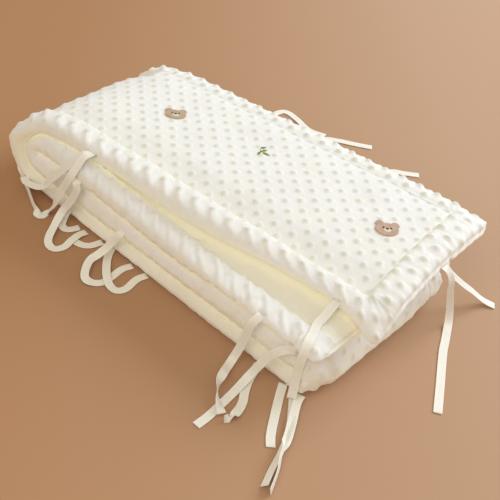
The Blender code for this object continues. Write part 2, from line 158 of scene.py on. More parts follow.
# ---- the pad's points, mm
DOT_PITCH = 15.0  # half the spacing of the dots in a row, and the spacing of the rows
DOT_X = 30.0  # one dot's place along the cloth and across it
DOT_ACROSS = 49.5
GRID_STEPS = 6
GRID = DOT_PITCH / GRID_STEPS  # spacing of the points where dots show
NEAR_LINE = 0.35  # a line this share of a spacing from a seam or fold is left out
EDGE_LENGTHS = (0.0, 0.9, 2.0, 3.3, 5.0, 7.0, 9.2)  # lines beside a seam, by length of cloth
FOLD_STEP = 0.2 * DOT_PITCH
LAYER_STEP = 0.25 * DOT_PITCH
INNER_STEP = 3.2
LOW_STEP = 7.5
LOW_STOP = 4.0  # the lowest layer's rows stop this far short of the right fold
NEAR_EVERY = 4  # the front of a covered layer is drawn with every fourth line
NEAR_SHARE = 0.4  # and that front starts this share of the way out from the middle

# ---- finer cloth, mm
STITCH_BLEND = 1.5  # the border's own detail fades out over the stitch line
JOIN_REACH = 14.0  # pleats fade out this near the start of a fold
LAYERS_TOUCH = 12.0  # further in from the seam than this, layers lie on each other
TOUCH_BLEND = (6.0, -2.0)  # relief is gone the first of these past that distance, and whole at the second
BARE_Y = (-112.0, -124.0)  # the second layer's border is bare in front of this

DOT_SHOULDER = 2.4  # the powers that shape a dot's dome
DOT_CROWN = 1.5
RIM_DOT_SPREAD = 0.12  # dots on the border are wider by this share
DOT_CUT = (0.5, 2.5)  # dots end this near the stitch line
DOT_SEAM = (1.0, 6.0)  # and the seam
FADE_DOWN = (24.0, 30.0)  # and get faint this far down the front border
# for each stretch of cloth: by how much dots get faint there, how high they are, how grey their centres are,
# partly greyer pile and partly painted shade
DOT_FADE = np.array((0.75, 0.75, 0.75, 0.55, 0.75, 0.75, 0.9))
DOT_SHARE = np.array((1.0, 1.0, 1.0, 0.8, 1.0, 1.0, 1.0))
DOT_PILE_AND_SHADE_SHARE = np.array((1.0, 1.0, 0.25, 1.0, 0.25, 1.0, 0.6))
TOP_FRONT_DOTS = 0.6
DOT_PILE_AND_SHADE_SHIFT = (-0.2, -0.4)  # a dot's darker centre lies this far from its middle, towards its side away from the light: partly greyer pile, partly painted shade
DOT_PILE_AND_SHADE_RADIUS = 5.0
DOT_PILE_AND_SHADE_POWER = 1.6
PATCH_CLEAR = 19.0  # no dot has its middle this near a face patch's middle

ROLL_RISE = 2.6  # the open border stands this much fuller than its layer
ROLL_SEAM = (0.0, 12.0)
ROLL_STITCH = (RIM_WIDTH - 1.0, RIM_WIDTH - 6.0)
END_BLEND = 14.0  # over this distance the end's border gives way to the side's
UNEVEN_RISE = 0.55  # slow unevenness of the filling
VALLEY_FILLS = (  # how much shallower the stitch line is: at the end, at the back, in the right fold
    (5.5, 7.0, 12.0), (8.5, 2.5, 34.0), (8.5, 3.0, 24.0))  # depth, reach over the border, into the panel
CREASE_DEPTH = 0.8  # how sharply the border's stitch line is drawn in
CREASE_HALF = 2.4
BACK_CREASE = 0.7  # the back's stitch line loses this share
SEAM_RIDGE = 3.2  # the sewn edge stands up by this
SEAM_RIDGE_HALF = 2.4
SEAM_GROOVE = 0.9  # and the cloth is drawn in beside it by this
GROOVE_PLACE = 5.6
GROOVE_HALF = 1.8
SEAM_SHOWN = 0.1  # share of ridge and groove away from the free ends
SEAM_CLEAR = (4.0, 28.0)
CREASE_SHADE_HALF = 7.0  # reach of the material's painted warm shade beside the stitch line and the seam
SEAM_SHADE_HALF = 6.0

RIBBON_PRESS = 0.5  # air left under a ribbon that lies on the pad
RIBBON_REACH = 12.0  # pad points this near a ribbon are kept under it
RIBBON_BELOW = 5.0  # the search for a ribbon starts this far inside the pad

DEPTH_REACH = 45.0  # cloth nearer than this shades a point
DEPTH_START = 0.8
DEPTH_RAYS = ((20.0, 3, 0.0), (55.0, 5, 0.3))  # tilt from the surface's normal, number, turn
TURNED_DEPTH = 0.45  # cloth turned away from the light gets painted shade as if this deep in a fold
TURNED_Z = (0.75, -0.35)

# pleats of the border: stretch of cloth, edge, pitch, depth, width of a valley, slant, seed
PLEATS = (
    (TOP, "front", 15.0, 1.7, 4.2, 0.30, 3),
    (TOP, "back", 15.0, 1.2, 4.0, 0.20, 5),
    (TOP, "end", 17.0, 1.5, 4.6, 0.25, 7),
    (OUTER, "front", 17.0, 0.7, 5.0, 0.20, 11),
    (OUTER, "back", 17.0, 1.4, 5.0, 0.20, 13),
    (SECOND, "front", 13.0, 2.4, 4.4, 0.40, 17),
    (SECOND, "back", 15.0, 1.2, 4.4, 0.20, 19),
    (SECOND, "end", 14.0, 0.9, 4.0, 0.20, 23),
    (THIRD, "front", 21.0, 2.2, 5.2, 0.35, 29),
    (THIRD, "back", 15.0, 1.2, 4.4, 0.20, 31),
    (LOW, "front", 24.0, 1.2, 6.0, 0.20, 37),
    (LOW, "back", 24.0, 0.8, 6.0, 0.20, 41),
    (RIGHT, "front", 12.0, 2.0, 4.0, 0.20, 43),
    (RIGHT, "back", 12.0, 2.0, 4.0, 0.20, 47),
)

# folds that fan out from a corner: stretch of cloth, sign of the edge, number in a half turn, depth
FANS = (
    (TOP, -1, 7, 0.9),
    (TOP, 1, 7, 0.9),
    (SECOND, -1, 6, 0.9),
)

# slanted ridges of the border: stretch of cloth, sign of the edge, height, height of finer ones
RIDGES = (
    (TOP, -1, 2.2, 0.6),
    (TOP, 1, 0.8, 0.2),
    (OUTER, -1, 1.0, 0.4),
    (OUTER, 1, 1.2, 0.4),
    (SECOND, -1, 2.2, 2.0),
    (THIRD, -1, 1.4, 0.8),
    (RIGHT, -1, 1.0, 0.3),
)
FAN_INNER = 10.0
FAN_OUTER = 58.0
FAN_MARGIN = -12.0
MITRE = 12.0  # pleats fade out this near a corner's diagonal
PLEAT_INSIDE = 0.35  # share of a pleat's depth on the side turned inwards
PLEAT_AT_STITCH = 0.45  # and at the stitch line
TOP_FRONT_FADE = 0.55  # the top layer's front pleats lose this share to the right
TOP_FRONT_X = (-40.0, 160.0)
PLEAT_JITTER = 0.28  # how unevenly pleats fall: shares of the pitch, of the depth and of the width
PLEAT_DEPTHS = (0.35, 1.0)
PLEAT_WIDTHS = (0.7, 1.2)
PLEAT_MEAN = 0.68
LEAN_PIVOT = 20.0  # pleats lean about a line this far from the seam
RIDGE_START = (15.0, 6.0)  # down from the stitch line: round the outside, and on the layers within
RIDGE_RISE = 10.0
RIDGE_END = (46.0, 28.0)
RIDGE_POWER = 1.4
RIDGE_MEAN = 0.42

# ---- ribbons, mm: middle of the strip x, y, z, then the compass and height its face looks to, degrees.
# Where a row has x and y only, the ribbon lies flat on the floor.
RIBBON_STEP = 2.6
RIBBON_AIR = 0.3
SELVEDGE = 0.9  # from the edge of the ribbon to the inside of its firmer edge
RIBBON_BODY = 0.72  # thickness between the firmer edges, as a share of theirs
ON_FLOOR = (0.8, 0, 90)
TIES = {
    "front_1a": (
        (-181, -122, 119.4, -90, 80), (-181, -128, 122.4, -90, 65), (-188, -135, 121.1, -80, 45),
        (-198, -143, 109.0, -80, 30), (-218, -154, 84.1, -75, 25), (-234, -159, 63.1, -80, 35),
        (-252, -160, 40.4, -100, 70), (-297, -152, 20.5, -100, 80), (-317, -141, 15.0, -120, 86)),
    "front_1b": (
        (-178, -121.9, 121.7, -90, 80), (-178, -128, 125.6, -90, 62), (-181, -138, 124.0, -80, 45),
        (-184, -150, 110.8, -75, 30), (-189, -161, 92.6, -70, 30), (-203, -164, 64.4, -70, 30),
        (-212, -166, 45.0, -70, 40), (-237, -164, 2.0, -60, 80), (-239, -178, 1.2, 0, 88),
        (-259, -172, 6.5, -130, 5), (-293, -153, 6.5, -130, 8), (-318, -139, 6.2, -130, 15),
        (-335, -129, 5.8, -130, 25), (-354, -116, 3.5, -130, 60), (-374, -100)),
    "front_2a": (
        (-177, -151.9, 90.1, -90, 80), (-178, -157.5, 88.3, -80, 50), (-176, -160, 77.2, -70, 20),
        (-189, -162, 48.7, -62, 25), (-203, -166, 23.6, -62, 40), (-200, -185, 9.0, -75, 60),
        (-186, -210, 3.0, -60, 80), (-170, -214), (-162, -201), (-164, -183, 2.6, 0, 90),
        (-165, -166, 2.4, 0, 90), (-163, -154)),
    "front_2b": (
        (-190, -151.1, 54.2, -90, 75), (-191, -156, 52.5, -80, 50), (-200, -158, 24.3, -60, 25),
        (-203, -164, 8.3, -60, 40), (-197, -172, 3.0, -60, 80), (-187, -170), (-178, -154)),
    "front_2c": (
        (-130, -153), (-138, -173), (-150, -180), (-165, -181)),
    "front_3a": (
        (-83, -158, 52.5, -90, 80), (-85, -164, 50.0, -80, 50), (-92, -168, 38.0, -65, 25),
        (-100, -175, 22.0, -60, 35), (-107, -187, 11.0, -60, 55), (-109, -199, 8.0, -60, 60),
        (-101, -216, 6.0, -60, 65), (-89, -228, 4.0, -60, 75), (-77, -225, 1.5, 0, 88), (-68, -214),
        (-67, -198), (-68, -176), (-62, -160)),
    "front_3b": (
        (-111, -152.9), (-102, -170), (-90, -185, 2.6, 0, 90), (-73, -202, 3.4, 0, 90),
        (-56, -213, 2.6, 0, 90), (-43, -213), (-36, -202), (-38, -176), (-33, -160)),
    "front_4a": (
        (180, -178, 88.0, -90, 80), (179, -186, 87.0, -80, 50), (175, -194, 77.0, -62, 25),
        (171, -196, 55.5, -62, 20), (165, -199, 26.8, -62, 30), (161, -207, 6.2, -62, 40),
        (170, -236, 14.0, -62, 40), (174, -251, 9.0, -10, 10), (183, -262, 9.0, 10, 8),
        (194, -273, 7.0, 30, 40), (205, -280, 3.2, 0, 90)),
    "front_5a": (
        (244, -192, 76.2, -95, 5), (235, -194, 75.2, -90, 10), (225, -198, 68.3, -75, 40),
        (214, -202, 54.0, -60, 35), (205, -207, 34.5, -60, 40), (195, -213, 9.0, -60, 60),
        (194, -235, 2.6, 0, 88), (194, -261), (194, -293), (192, -314)),
    "front_5b": (
        (188, -180.4), (192, -198), (197, -216), (204, -232), (212, -246), (217, -263, 3.0, -60, 60),
        (218, -279, 6.3, -100, 10), (214, -287, 6.3, -90, 5)),
    "front_6a": (
        (246, -112.1, 110.2, -90, 80), (246, -119, 108.5, -90, 65), (244, -135, 97, -60, 65),
        (243, -147, 93.5, -60, 75), (248, -165, 93.4, -60, 80), (252, -181, 93, -60, 60),
        (255, -191.5, 85, -60, 25), (255, -196, 70, -62, 12), (254, -197, 48.7, -62, 12),
        (255, -199, 26.4, -62, 20), (256, -202, 4.5, -60, 60)),
    "front_6b": (
        (250, -187), (262, -205), (277, -231, 4.0, -157, 60), (288, -256, 5.0, -157, 45),
        (295, -279, 5.0, -157, 42), (301, -304, 4.6, -157, 45), (308, -328, 4.6, -157, 45)),
    "front_6c": (
        (262, -187, 3.2, 0, 90), (264, -198, 4.2, 0, 90), (270, -213, 4.5, -50, 80),
        (278, -230, 4.5, -50, 75), (288, -253, 4.5, -50, 75), (297, -279, 8.6, -20, 10),
        (309, -303, 7.5, -20, 5), (319, -331, 6.6, -30, 5)),
    "front_6d": (
        (232, -185.5), (242, -208), (257, -239), (270, -264), (280, -277)),
    "end_7a": (
        (314, 55, 115.4, 0, 80), (318, 55, 110.5, 0, 35), (320, 64, 93.0, 10, 30), (326, 79, 76.0, 20, 35),
        (334, 104, 50.0, 20, 40), (345, 126, 28.0, 20, 50), (362, 144, 7.0, 20, 70), (378, 152)),
    "end_7b": (
        (314, 41, 115.2, 0, 80), (322, 41, 114.0, -5, 55), (330, 52, 92.0, -20, 25),
        (331, 62, 66.0, -30, 20), (334, 71, 38.0, -40, 20), (341, 71, 9.0, -50, 60), (352, 46), (364, 14),
        (390, -43), (410, -87)),
    "back_8a": (
        (-110, 172.9, 107.5, 90, 80), (-110, 179, 106.0, 90, 55), (-124, 198, 82.0, 90, 25),
        (-146, 226, 38.0, 100, 30), (-158, 265, 6.0, 100, 70), (-162, 305), (-162, 334), (-153, 349),
        (-126, 345), (-86, 330, 2.0, 0, 90), (-54, 335, 2.8, 0, 90)),
    "back_8b": (
        (-40, 172.9, 109.2, 90, 80), (-40, 179, 107.8, 90, 55), (-43, 196, 84.0, 90, 15),
        (-50, 228, 32.0, 90, 30), (-58, 268, 3.0, 90, 75), (-60, 305), (-50, 329), (-32, 342), (-3, 356),
        (26, 371)),
    "back_9": (
        (100, 172.9, 111.4, 90, 80), (100, 179, 110.0, 90, 55), (101, 196, 86.0, 90, 15),
        (100, 230, 30.0, 90, 30), (94, 272, 3.0, 90, 75), (88, 310), (90, 333), (110, 346), (131, 360)),
}

# ---- face patches and sprig, mm
HEAD_WIDTH = 33.0
HEAD_HEIGHT = 26.0
EAR_OUT = 11.0
EAR_UP = 10.5
EAR_RADIUS = 6.0
PATCH_THICK = 1.8
PATCH_AIR = 0.2
PATCHES = (  # name, slot, x, y, where its top points, degrees
    ("bear_patch_left", "tan_felt", -158.3, 32.7, 128.0),
    ("bear_patch_right", "pink_felt", 228.4, 31.8, 119.0),
)
FEATURES = (  # name, x, y on the face, half width, half height, thickness, colour
    ("muzzle", 0.0, -3.0, 5.6, 3.8, 0.8, "muzzle"),
    ("nose", 0.0, -1.0, 2.5, 1.9, 1.4, "nose"),
    ("eye_left", -5.4, 1.8, 1.4, 1.5, 0.7, "nose"),
    ("eye_right", 5.4, 1.8, 1.4, 1.5, 0.7, "nose"),
)
LEAVES = (  # base x, y, tip x, y, width
    (-10.4, 59.0, -6.9, 68.0, 4.5),
    (-4.8, 54.8, -1.3, 62.4, 4.5),
    (-7.4, 52.2, -3.7, 54.8, 3.8),
    (-6.0, 50.8, -2.8, 41.2, 4.8),
    (-2.4, 52.0, 10.6, 53.0, 5.1),
)
STEM = ((-11.0, 58.6), (-8.4, 55.0), (-5.6, 52.4), (-1.8, 51.6))
LEAF_RISE = 0.9
STITCH_RADIUS = 0.32
STITCH_SINK = 0.40  # the pile hides this much of a border stitch
STEM_STITCH = (1.6, 0.38, 0.05)  # spacing, radius, how deep it sinks
SWELL = ((0.0, 1.0), (0.5, 0.94), (0.8, 0.75), (0.95, 0.45), (1.0, 0.1))  # a feature: share out, height
PATCH_SWELL = ((0.0, 1.0), (0.25, 1.0), (0.5, 0.99), (0.72, 0.97), (0.86, 0.95), (0.93, 1.06),
               (0.97, 0.92), (1.0, 0.35))
LEAF_SWELL = ((0.0, 1.0), (0.35, 0.95), (0.7, 0.75), (0.92, 0.45))
LEAF_EDGE = 0.1
LEAF_LIFT = 0.02
FEATURE_SINK = 0.05
LEAF_TAPER = 0.35

# ---- camera, mm, and the axes of its view in the part's frame
CAMERA_PLACE = (567.0, -843.2, 863.4)
CAMERA_RIGHT = (0.78464, 0.61008, 0.11015)
CAMERA_DOWN = (0.47161, -0.47207, -0.74480)
CAMERA_FORWARD = (-0.40239, 0.63635, -0.65813)
CAMERA_LENS = 61.80
CAMERA_SENSOR = 36.0

# ---- floor, mm, and lights: name, place and size in metres, tint
FLOOR_HALF = 30000.0
FLOOR_Z = -0.4
ROOM_TINT = (1.0, 0.915, 0.745)
LIGHTS_AIM = (0.0, 0.0, 0.06)
LIGHTS = (
    ("key_light", (1.25, 3.0, 2.05), 2.2, (0.80, 0.91, 1.0)),
    ("fill_light", (0.3, -1.7, 1.9), 1.8, (1.0, 0.94, 0.80)),
)


# ---- what a user may change
class BumperSizes(PropertyGroup):
    """Sizes of the cloth's detail."""
    dot_radius: FloatProperty(
        name="Dot radius", description="Radius of one raised dot of the plush",
        default=0.0062, unit="LENGTH")
    dot_height: FloatProperty(
        name="Dot height", description="How far a dot stands up from the panel",
        default=0.0018, unit="LENGTH")
    rim_dot_height: FloatProperty(
        name="Border dot height", description="How far a dot stands up on the stuffed border",
        default=0.0029, unit="LENGTH")
    ribbon_width: FloatProperty(
        name="Ribbon width", description="Width of the satin ties",
        default=0.012, unit="LENGTH")
    ribbon_thickness: FloatProperty(
        name="Ribbon thickness", description="Thickness of the satin ties",
        default=0.0008, unit="LENGTH")
    stitch_length: FloatProperty(
        name="Stitch length", description="Length of one stitch and its gap along the border",
        default=0.0042, unit="LENGTH")


class BumperColours(PropertyGroup):
    """Colours of the cloth, ribbon and thread."""
    plush: FloatVectorProperty(
        name="Dotted plush", description="White dotted face",
        default=(0.92, 0.92, 0.95), subtype="COLOR")
    cream: FloatVectorProperty(
        name="Smooth plush", description="Cream smooth face",
        default=(0.94, 0.92, 0.85), subtype="COLOR")
    ribbon: FloatVectorProperty(
        name="Ribbon", description="Cream satin ties",
        default=(0.965, 0.95, 0.915), subtype="COLOR")
    tan: FloatVectorProperty(
        name="Tan felt", description="Left face patch",
        default=(0.56, 0.42, 0.30), subtype="COLOR")
    pink: FloatVectorProperty(
        name="Pinkish felt", description="Right face patch",
        default=(0.62, 0.44, 0.35), subtype="COLOR")
    muzzle: FloatVectorProperty(
        name="Muzzle", description="Pale thread of a face patch",
        default=(0.82, 0.76, 0.68), subtype="COLOR")
    nose: FloatVectorProperty(
        name="Nose and eyes", description="Dark thread of a face patch",
        default=(0.02, 0.018, 0.02), subtype="COLOR")
    leaf: FloatVectorProperty(
        name="Leaf", description="Green thread of the sprig",
        default=(0.24, 0.29, 0.045), subtype="COLOR")
    thread: FloatVectorProperty(
        name="Thread", description="Sewing thread of the border",
        default=(0.88, 0.86, 0.78), subtype="COLOR")


class BumperStage(PropertyGroup):
    """Floor and light."""
    floor: FloatVectorProperty(
        name="Floor", description="Colour of the plain floor",
        default=(0.50, 0.278, 0.158), subtype="COLOR")
    sky: FloatProperty(
        name="Room light", description="Strength of the even light all round",
        default=0.60, min=0.0)
    key: FloatProperty(
        name="Main light", description="Power of the large soft light",
        default=110.0, min=0.0, unit="POWER")
    fill: FloatProperty(
        name="Fill light", description="Power of the soft light from the front",
        default=13.5, min=0.0, unit="POWER")


# ---- small helpers
def smooth(low, high, value):
    """0 at low, 1 at high, and a soft S between."""
    t = np.clip((np.asarray(value, float) - low) / (high - low), 0.0, 1.0)
    return t * t * (3.0 - 2.0 * t)


def eased(move, *values):
    """A move's full size times how far each value has come through its window."""
    size, *windows = move
    for window, value in zip(windows, values):
        size = size * smooth(*window, value)
    return size


def bell(value, half):
    """1 at 0, falling softly to either side."""
    return np.exp(-(value / half) ** 2)


def add_form(points, faces, more_points, more_faces):
    """Add one set of points and faces to another."""
    base = len(points)
    points.extend(more_points)
    faces.extend(tuple(base + k for k in face) for face in more_faces)


def drop(tree, x, y):
    """Where a point let down from above meets the cloth."""
    return tree.ray_cast(Vector((x, y, 2.0 * STACK_Z)), Vector((0.0, 0.0, -1.0)))[0]


def ring_quads(first, second, count):
    """Faces between two closed rings of points, each given by its first point."""
    for k in range(count):
        n = (k + 1) % count
        yield first + k, first + n, second + n, second + k


def round_steps(count):
    """Angles that go once round."""
    return [math.tau * k / count for k in range(count)]


def add_mesh(name, points_mm, faces, materials, face_slots=None):
    """A new object from points in millimetres."""
    mesh = bpy.data.meshes.new(name)
    mesh.from_pydata((np.asarray(points_mm) * MM).tolist(), [], faces)
    for mat in materials:
        mesh.materials.append(mat)
    if face_slots is not None:
        mesh.polygons.foreach_set("material_index", np.asarray(face_slots, np.int32))
    mesh.shade_smooth()
    mesh.update()
    obj = bpy.data.objects.new(name, mesh)
    bpy.context.scene.collection.objects.link(obj)
    return obj


def add_attribute(obj, name, values):
    """One number for each point of a mesh, for its material to read."""
    layer = obj.data.attributes.new(name, "FLOAT", "POINT")
    layer.data.foreach_set("value", np.asarray(values, np.float32))


def point_array(obj):
    """A mesh's points in millimetres."""
    flat = np.empty(3 * len(obj.data.vertices))
    obj.data.vertices.foreach_get("co", flat)
    return flat.reshape(-1, 3) / MM


def normal_array(obj):
    """A mesh's point normals."""
    flat = np.empty(3 * len(obj.data.vertices))
    obj.data.vertex_normals.foreach_get("vector", flat)
    return flat.reshape(-1, 3)


def face_tree(obj):
    """A search tree over a mesh's faces, in millimetres."""
    return BVHTree.FromPolygons([tuple(p) for p in point_array(obj)],
                                [tuple(p.vertices) for p in obj.data.polygons])


# ---- the pad's surface
def profile_table():
    """Distance in from the seam, half thickness there, and cloth length from the seam."""
    angle = np.linspace(0.0, 0.5 * math.pi, PROFILE_STEPS[0])
    rim = RIM_CREST * (1.0 - np.cos(angle))
    inner = np.linspace(RIM_CREST, HALF_WIDTH, PROFILE_STEPS[1])[1:]
    distance = np.concatenate([rim, inner])
    height = half_thickness(distance)
    step = np.hypot(np.diff(distance), np.diff(height))
    return distance, height, np.concatenate([[0.0], np.cumsum(step)])


def half_thickness(distance):
    """Half the pad's thickness at a distance in from its nearest seam."""
    d = np.asarray(distance, float)
    round_part = FULL_HALF * np.sqrt(np.clip(1.0 - (1.0 - d / RIM_CREST) ** 2, 0.0, None))
    share = np.clip((d - RIM_CREST) / (RIM_WIDTH - RIM_CREST), 0.0, 1.0)
    slope = STITCH_HALF + (FULL_HALF - STITCH_HALF) * (1.0 - share ** RIM_POWER) ** (1.0 / RIM_POWER)
    start = smooth(CROWN_START, 1.0, 0.0)
    crown = (smooth(CROWN_START, 1.0, (d - RIM_WIDTH) / CROWN_REACH) - start) / (1.0 - start)
    panel = STITCH_HALF + (FULL_HALF - STITCH_HALF) * crown
    return np.where(d < RIM_CREST, round_part, np.where(d < RIM_WIDTH, slope, panel))


PROFILE = profile_table()


def cloth_length(distance):
    """Length of cloth from the seam to a distance in from it."""
    return np.interp(distance, PROFILE[0], PROFILE[2])


BORDER_CLOTH = float(cloth_length(RIM_WIDTH))


def rim_lines(first):
    """Distances in from a seam at which a border is drawn, so that its dots fall on grid lines.
    The first grid line past the stitch line is that far from it."""
    first = first % GRID
    if first < NEAR_LINE * GRID:
        first += GRID
    inner = np.arange(BORDER_CLOTH - first, EDGE_LENGTHS[-1] + 0.5 * GRID, -GRID)[::-1]
    found = np.interp(np.concatenate([EDGE_LENGTHS, inner, [BORDER_CLOTH]]), PROFILE[2], PROFILE[0])
    found[-1] = RIM_WIDTH
    return found


def grid_lines(low, high, spacing, start):
    """Places from low to high that lie a whole number of spacings from start."""
    first = math.floor((low - start) / spacing + NEAR_LINE) + 1
    last = math.ceil((high - start) / spacing - NEAR_LINE) - 1
    return start + spacing * np.arange(first, last + 1)


def fold_path():
    """Stations along the folded bumper, one row each: x, z, heading, share of the skew,
    distance from a free end, cloth length along the dotted face, and the stretch of cloth."""
    rows = []

    def free_end(x_end, z, heading, share, stretch):
        stitch = x_end - RIM_WIDTH
        return [(x_end - d, z, heading, share, d, stitch + BORDER_CLOTH - float(cloth_length(d)), stretch)
                for d in rim_lines(DOT_X - stitch)]

    def straight(places, x_to, z, share, stretch):
        heading = 0.0 if x_to > 0.0 else 180.0
        for x in [*places, x_to]:
            rows.append((x, z, heading, share, FAR_FROM_END, x, stretch))

    def turn(x, z, radius, start, sweep, lengths, share, outside, stretch):
        side = 90.0 if sweep > 0 else -90.0
        for length in [*lengths, math.radians(abs(sweep)) * outside]:
            angle = start + math.copysign(math.degrees(length / outside), sweep)
            rows.append((x + radius * math.cos(math.radians(angle)),
                         z + radius * math.sin(math.radians(angle)),
                         angle + side, share, FAR_FROM_END, x + math.copysign(length, x), stretch))

    top, second, third, low = LAYER_Z[3], LAYER_Z[2], LAYER_Z[1], LAYER_Z[0]
    outer, right = top - NOSE_Z + FULL_HALF, 0.5 * (third - low) + FULL_HALF
    rows.extend(free_end(TOP_END_X, top, 180.0, 0.0, TOP))
    straight(grid_lines(LEFT_FOLD_X, TOP_END_X - RIM_WIDTH, GRID, DOT_X)[::-1], LEFT_FOLD_X, top, 0.0, TOP)
    turn(LEFT_FOLD_X, NOSE_Z, top - NOSE_Z, 90.0, 180.0,
         grid_lines(0.0, math.pi * outer, FOLD_STEP, LEFT_FOLD_X - DOT_X), 0.0, outer, OUTER)
    straight(np.arange(LEFT_FOLD_X + LOW_STEP, RIGHT_FOLD_X - LOW_STOP, LOW_STEP),
             RIGHT_FOLD_X, low, 1.0, LOW)
    turn(RIGHT_FOLD_X, 0.5 * (low + third), 0.5 * (third - low), -90.0, 180.0,
         grid_lines(0.0, math.pi * right, FOLD_STEP, DOT_X - RIGHT_FOLD_X), 1.0, right, RIGHT)
    straight(grid_lines(LEFT_FOLD_X, RIGHT_FOLD_X, LAYER_STEP, DOT_X)[::-1], LEFT_FOLD_X, third, 1.0, THIRD)
    turn(LEFT_FOLD_X, NOSE_Z, 0.5 * (second - third), 270.0, -180.0,
         grid_lines(0.0, math.pi * FULL_HALF, INNER_STEP, 0.0), 1.0, FULL_HALF, INNER)
    straight(grid_lines(LEFT_FOLD_X, SECOND_END_X - RIM_WIDTH, LAYER_STEP, DOT_X),
             SECOND_END_X - RIM_WIDTH, second, 1.0, SECOND)
    rows.extend(free_end(SECOND_END_X, second, 0.0, 1.0, SECOND)[-2::-1])
    return np.array(rows)


def lay(x, z, across, share):
    """Move points of the straight stack to where the skewed layers lie."""
    # turn each layer about the pivot
    round_outside = (x < LEFT_FOLD_X) & (np.hypot(x - LEFT_FOLD_X, z - NOSE_Z) > LAYER_PITCH)
    folded = smooth(LEFT_FOLD_X + FOLD_REACH, LEFT_FOLD_X, x)
    share = share + (smooth(*FOLD_TURN, z) - share) * folded
    turn = math.radians(SKEW_DEG) * share
    centre = TOP_CENTRE_Y + (LOWER_CENTRE_Y - TOP_CENTRE_Y) * share
    run = x - SKEW_PIVOT_X
    out_x = SKEW_PIVOT_X + run * np.cos(turn) - across * np.sin(turn)
    out_y = centre + run * np.sin(turn) + across * np.cos(turn)

    # find how high in the stack, how far along it and how far across it each point is
    lift = LIFT_HEIGHT * smooth(0.0, 1.0, (LEFT_FOLD_X + LIFT_START - x) / LIFT_RUN)
    z = z + lift * np.clip(1.0 - z / LAYER_Z[2], 0.0, None) ** 2
    level = z / STACK_Z
    along = out_x / TOP_END_X
    over = np.clip((out_y - TOP_CENTRE_Y) / HALF_WIDTH, -1.0, 1.0)

    # sag, swell, shift and tuck
    back_right = (over > 0.0) & (along > 0.0)
    twist = TWIST_DROP * along * over * np.where(back_right, BACK_TWIST_SHARE, 1.0)
    fall = EDGE_DROP * over * over - twist + eased(FOLD_SAG, out_x)
    swell = eased(FRONT_SWELL, out_x, out_y)
    corner = eased(CORNER_DROP, out_x, out_y)
    tucked = TUCK_AT_LEFT + (1.0 - TUCK_AT_LEFT) * smooth(*TUCK_X, out_x)
    tucked = tucked * (1.0 - CORNER_FREE * smooth(*CORNER_FREE_X, out_x))
    shift = 0.0
    for at_level, reach, rise, along_x, along_y in SHIFTS:
        near = np.clip(1.0 - ((level - at_level) / reach) ** 2, 0.0, None) ** 2
        shift = shift + rise * near * smooth(*along_x, out_x) * smooth(*along_y, out_y)
    upper = np.where(round_outside, smooth(FOLD_TUCK_LEVEL, SECOND_TOP_LEVEL, level),
                     level > SECOND_TOP_LEVEL)
    front = smooth(*TUCK_Y, out_y) * tucked * upper
    out_y = out_y + FRONT_TUCK * front
    z = z + FRONT_RAISE * front * smooth(1.0, TOP_SEAM_LEVEL, level)
    z = z + swell * PEAK_SCALE * level ** 2 * (1.0 - level) - fall * level ** 2
    hang = np.clip((level - SECOND_TOP_LEVEL) / (TOP_SEAM_LEVEL - SECOND_TOP_LEVEL), 0.0, 1.0)
    return out_x, out_y, z - corner * hang + shift


def pad_surface(stations, lines, side):
    """Points of one face of the pad, stations by lines: side +1 is the dotted face, -1 the smooth one."""
    x, z, heading, share, end = (stations[:, k][:, None] + 0.0 * lines[None, :] for k in range(ALONG))
    stretch = stations[:, STRETCH][:, None]
    across = lines[None, :] + 0.0 * x
    edge = HALF_WIDTH - np.abs(across)

    # round the corners of the free ends
    from_end, from_side = CORNER_ROUND - end, CORNER_ROUND - edge
    inside = (from_end > 0.0) & (from_side > 0.0)
    reach = np.where(inside, np.hypot(from_end, from_side), 1.0)
    pull = np.where(inside, 1.0 - np.maximum(from_end, from_side) / reach, 0.0)
    x = x - pull * from_end
    across = across - np.sign(across) * pull * from_side

    # half the thickness to one side of the middle of the filling
    thick = half_thickness(np.minimum(edge, end))
    face = np.radians(heading - 90.0)
    across = across - eased(FOLD_FLARE, LEFT_FOLD_X - x, edge) * (across < 0.0)
    x = x + side * thick * np.cos(face)

    # the second layer's end, the right fold and the top layer's back corner
    low_end = np.maximum(smooth(RIM_CREST, 0.0, end),
                         smooth(RIM_CREST, 0.0, edge) * (across < 0.0) * smooth(*END_DROP_X, x))
    round_fold = smooth(*ROUND_FOLD, x - RIGHT_FOLD_X) * (stretch == RIGHT)
    x = x + (eased(FOLD_OUT, across) - eased(FOLD_NARROW, edge) * (across < 0.0)) * round_fold
    across = across + eased(FOLD_BACK, across) * round_fold
    z = z - END_SEAM_DROP * low_end ** 2 * (stretch == SECOND)
    x = x + eased(END_SPREAD, across, end) * (stretch == TOP)
    z = z - eased(CORNER_HANG, across, end) * (stretch == TOP)

    lying = np.where((z < FULL_HALF + 0.1) & (side > 0), LYING_SPREAD, 1.0)
    z = np.maximum(0.0, z + side * thick * lying * np.sin(face))
    return np.stack(lay(x, z, across, share), axis=-1)


def line_sets(lines, front_count, back_count):
    """Which lines each kind of row keeps: all, the front closely, the front border closely, or few."""
    last = len(lines) - 1
    every = np.arange(last + 1)
    in_front, in_back = every < front_count, every > last - back_count
    panel = ~in_front & ~in_back
    few = (every % (2 * GRID_STEPS) == 0) & panel | (every % 2 == 0) & ~panel
    few = few | np.isin(every, (0, front_count - 1, last - back_count + 1, last))
    near = panel & (every % NEAR_EVERY == 0) & (lines < -NEAR_SHARE * PANEL_HALF)
    rim = few | in_front
    return {"all": every, "front": every[rim | near], "rim": every[rim], "few": every[few]}


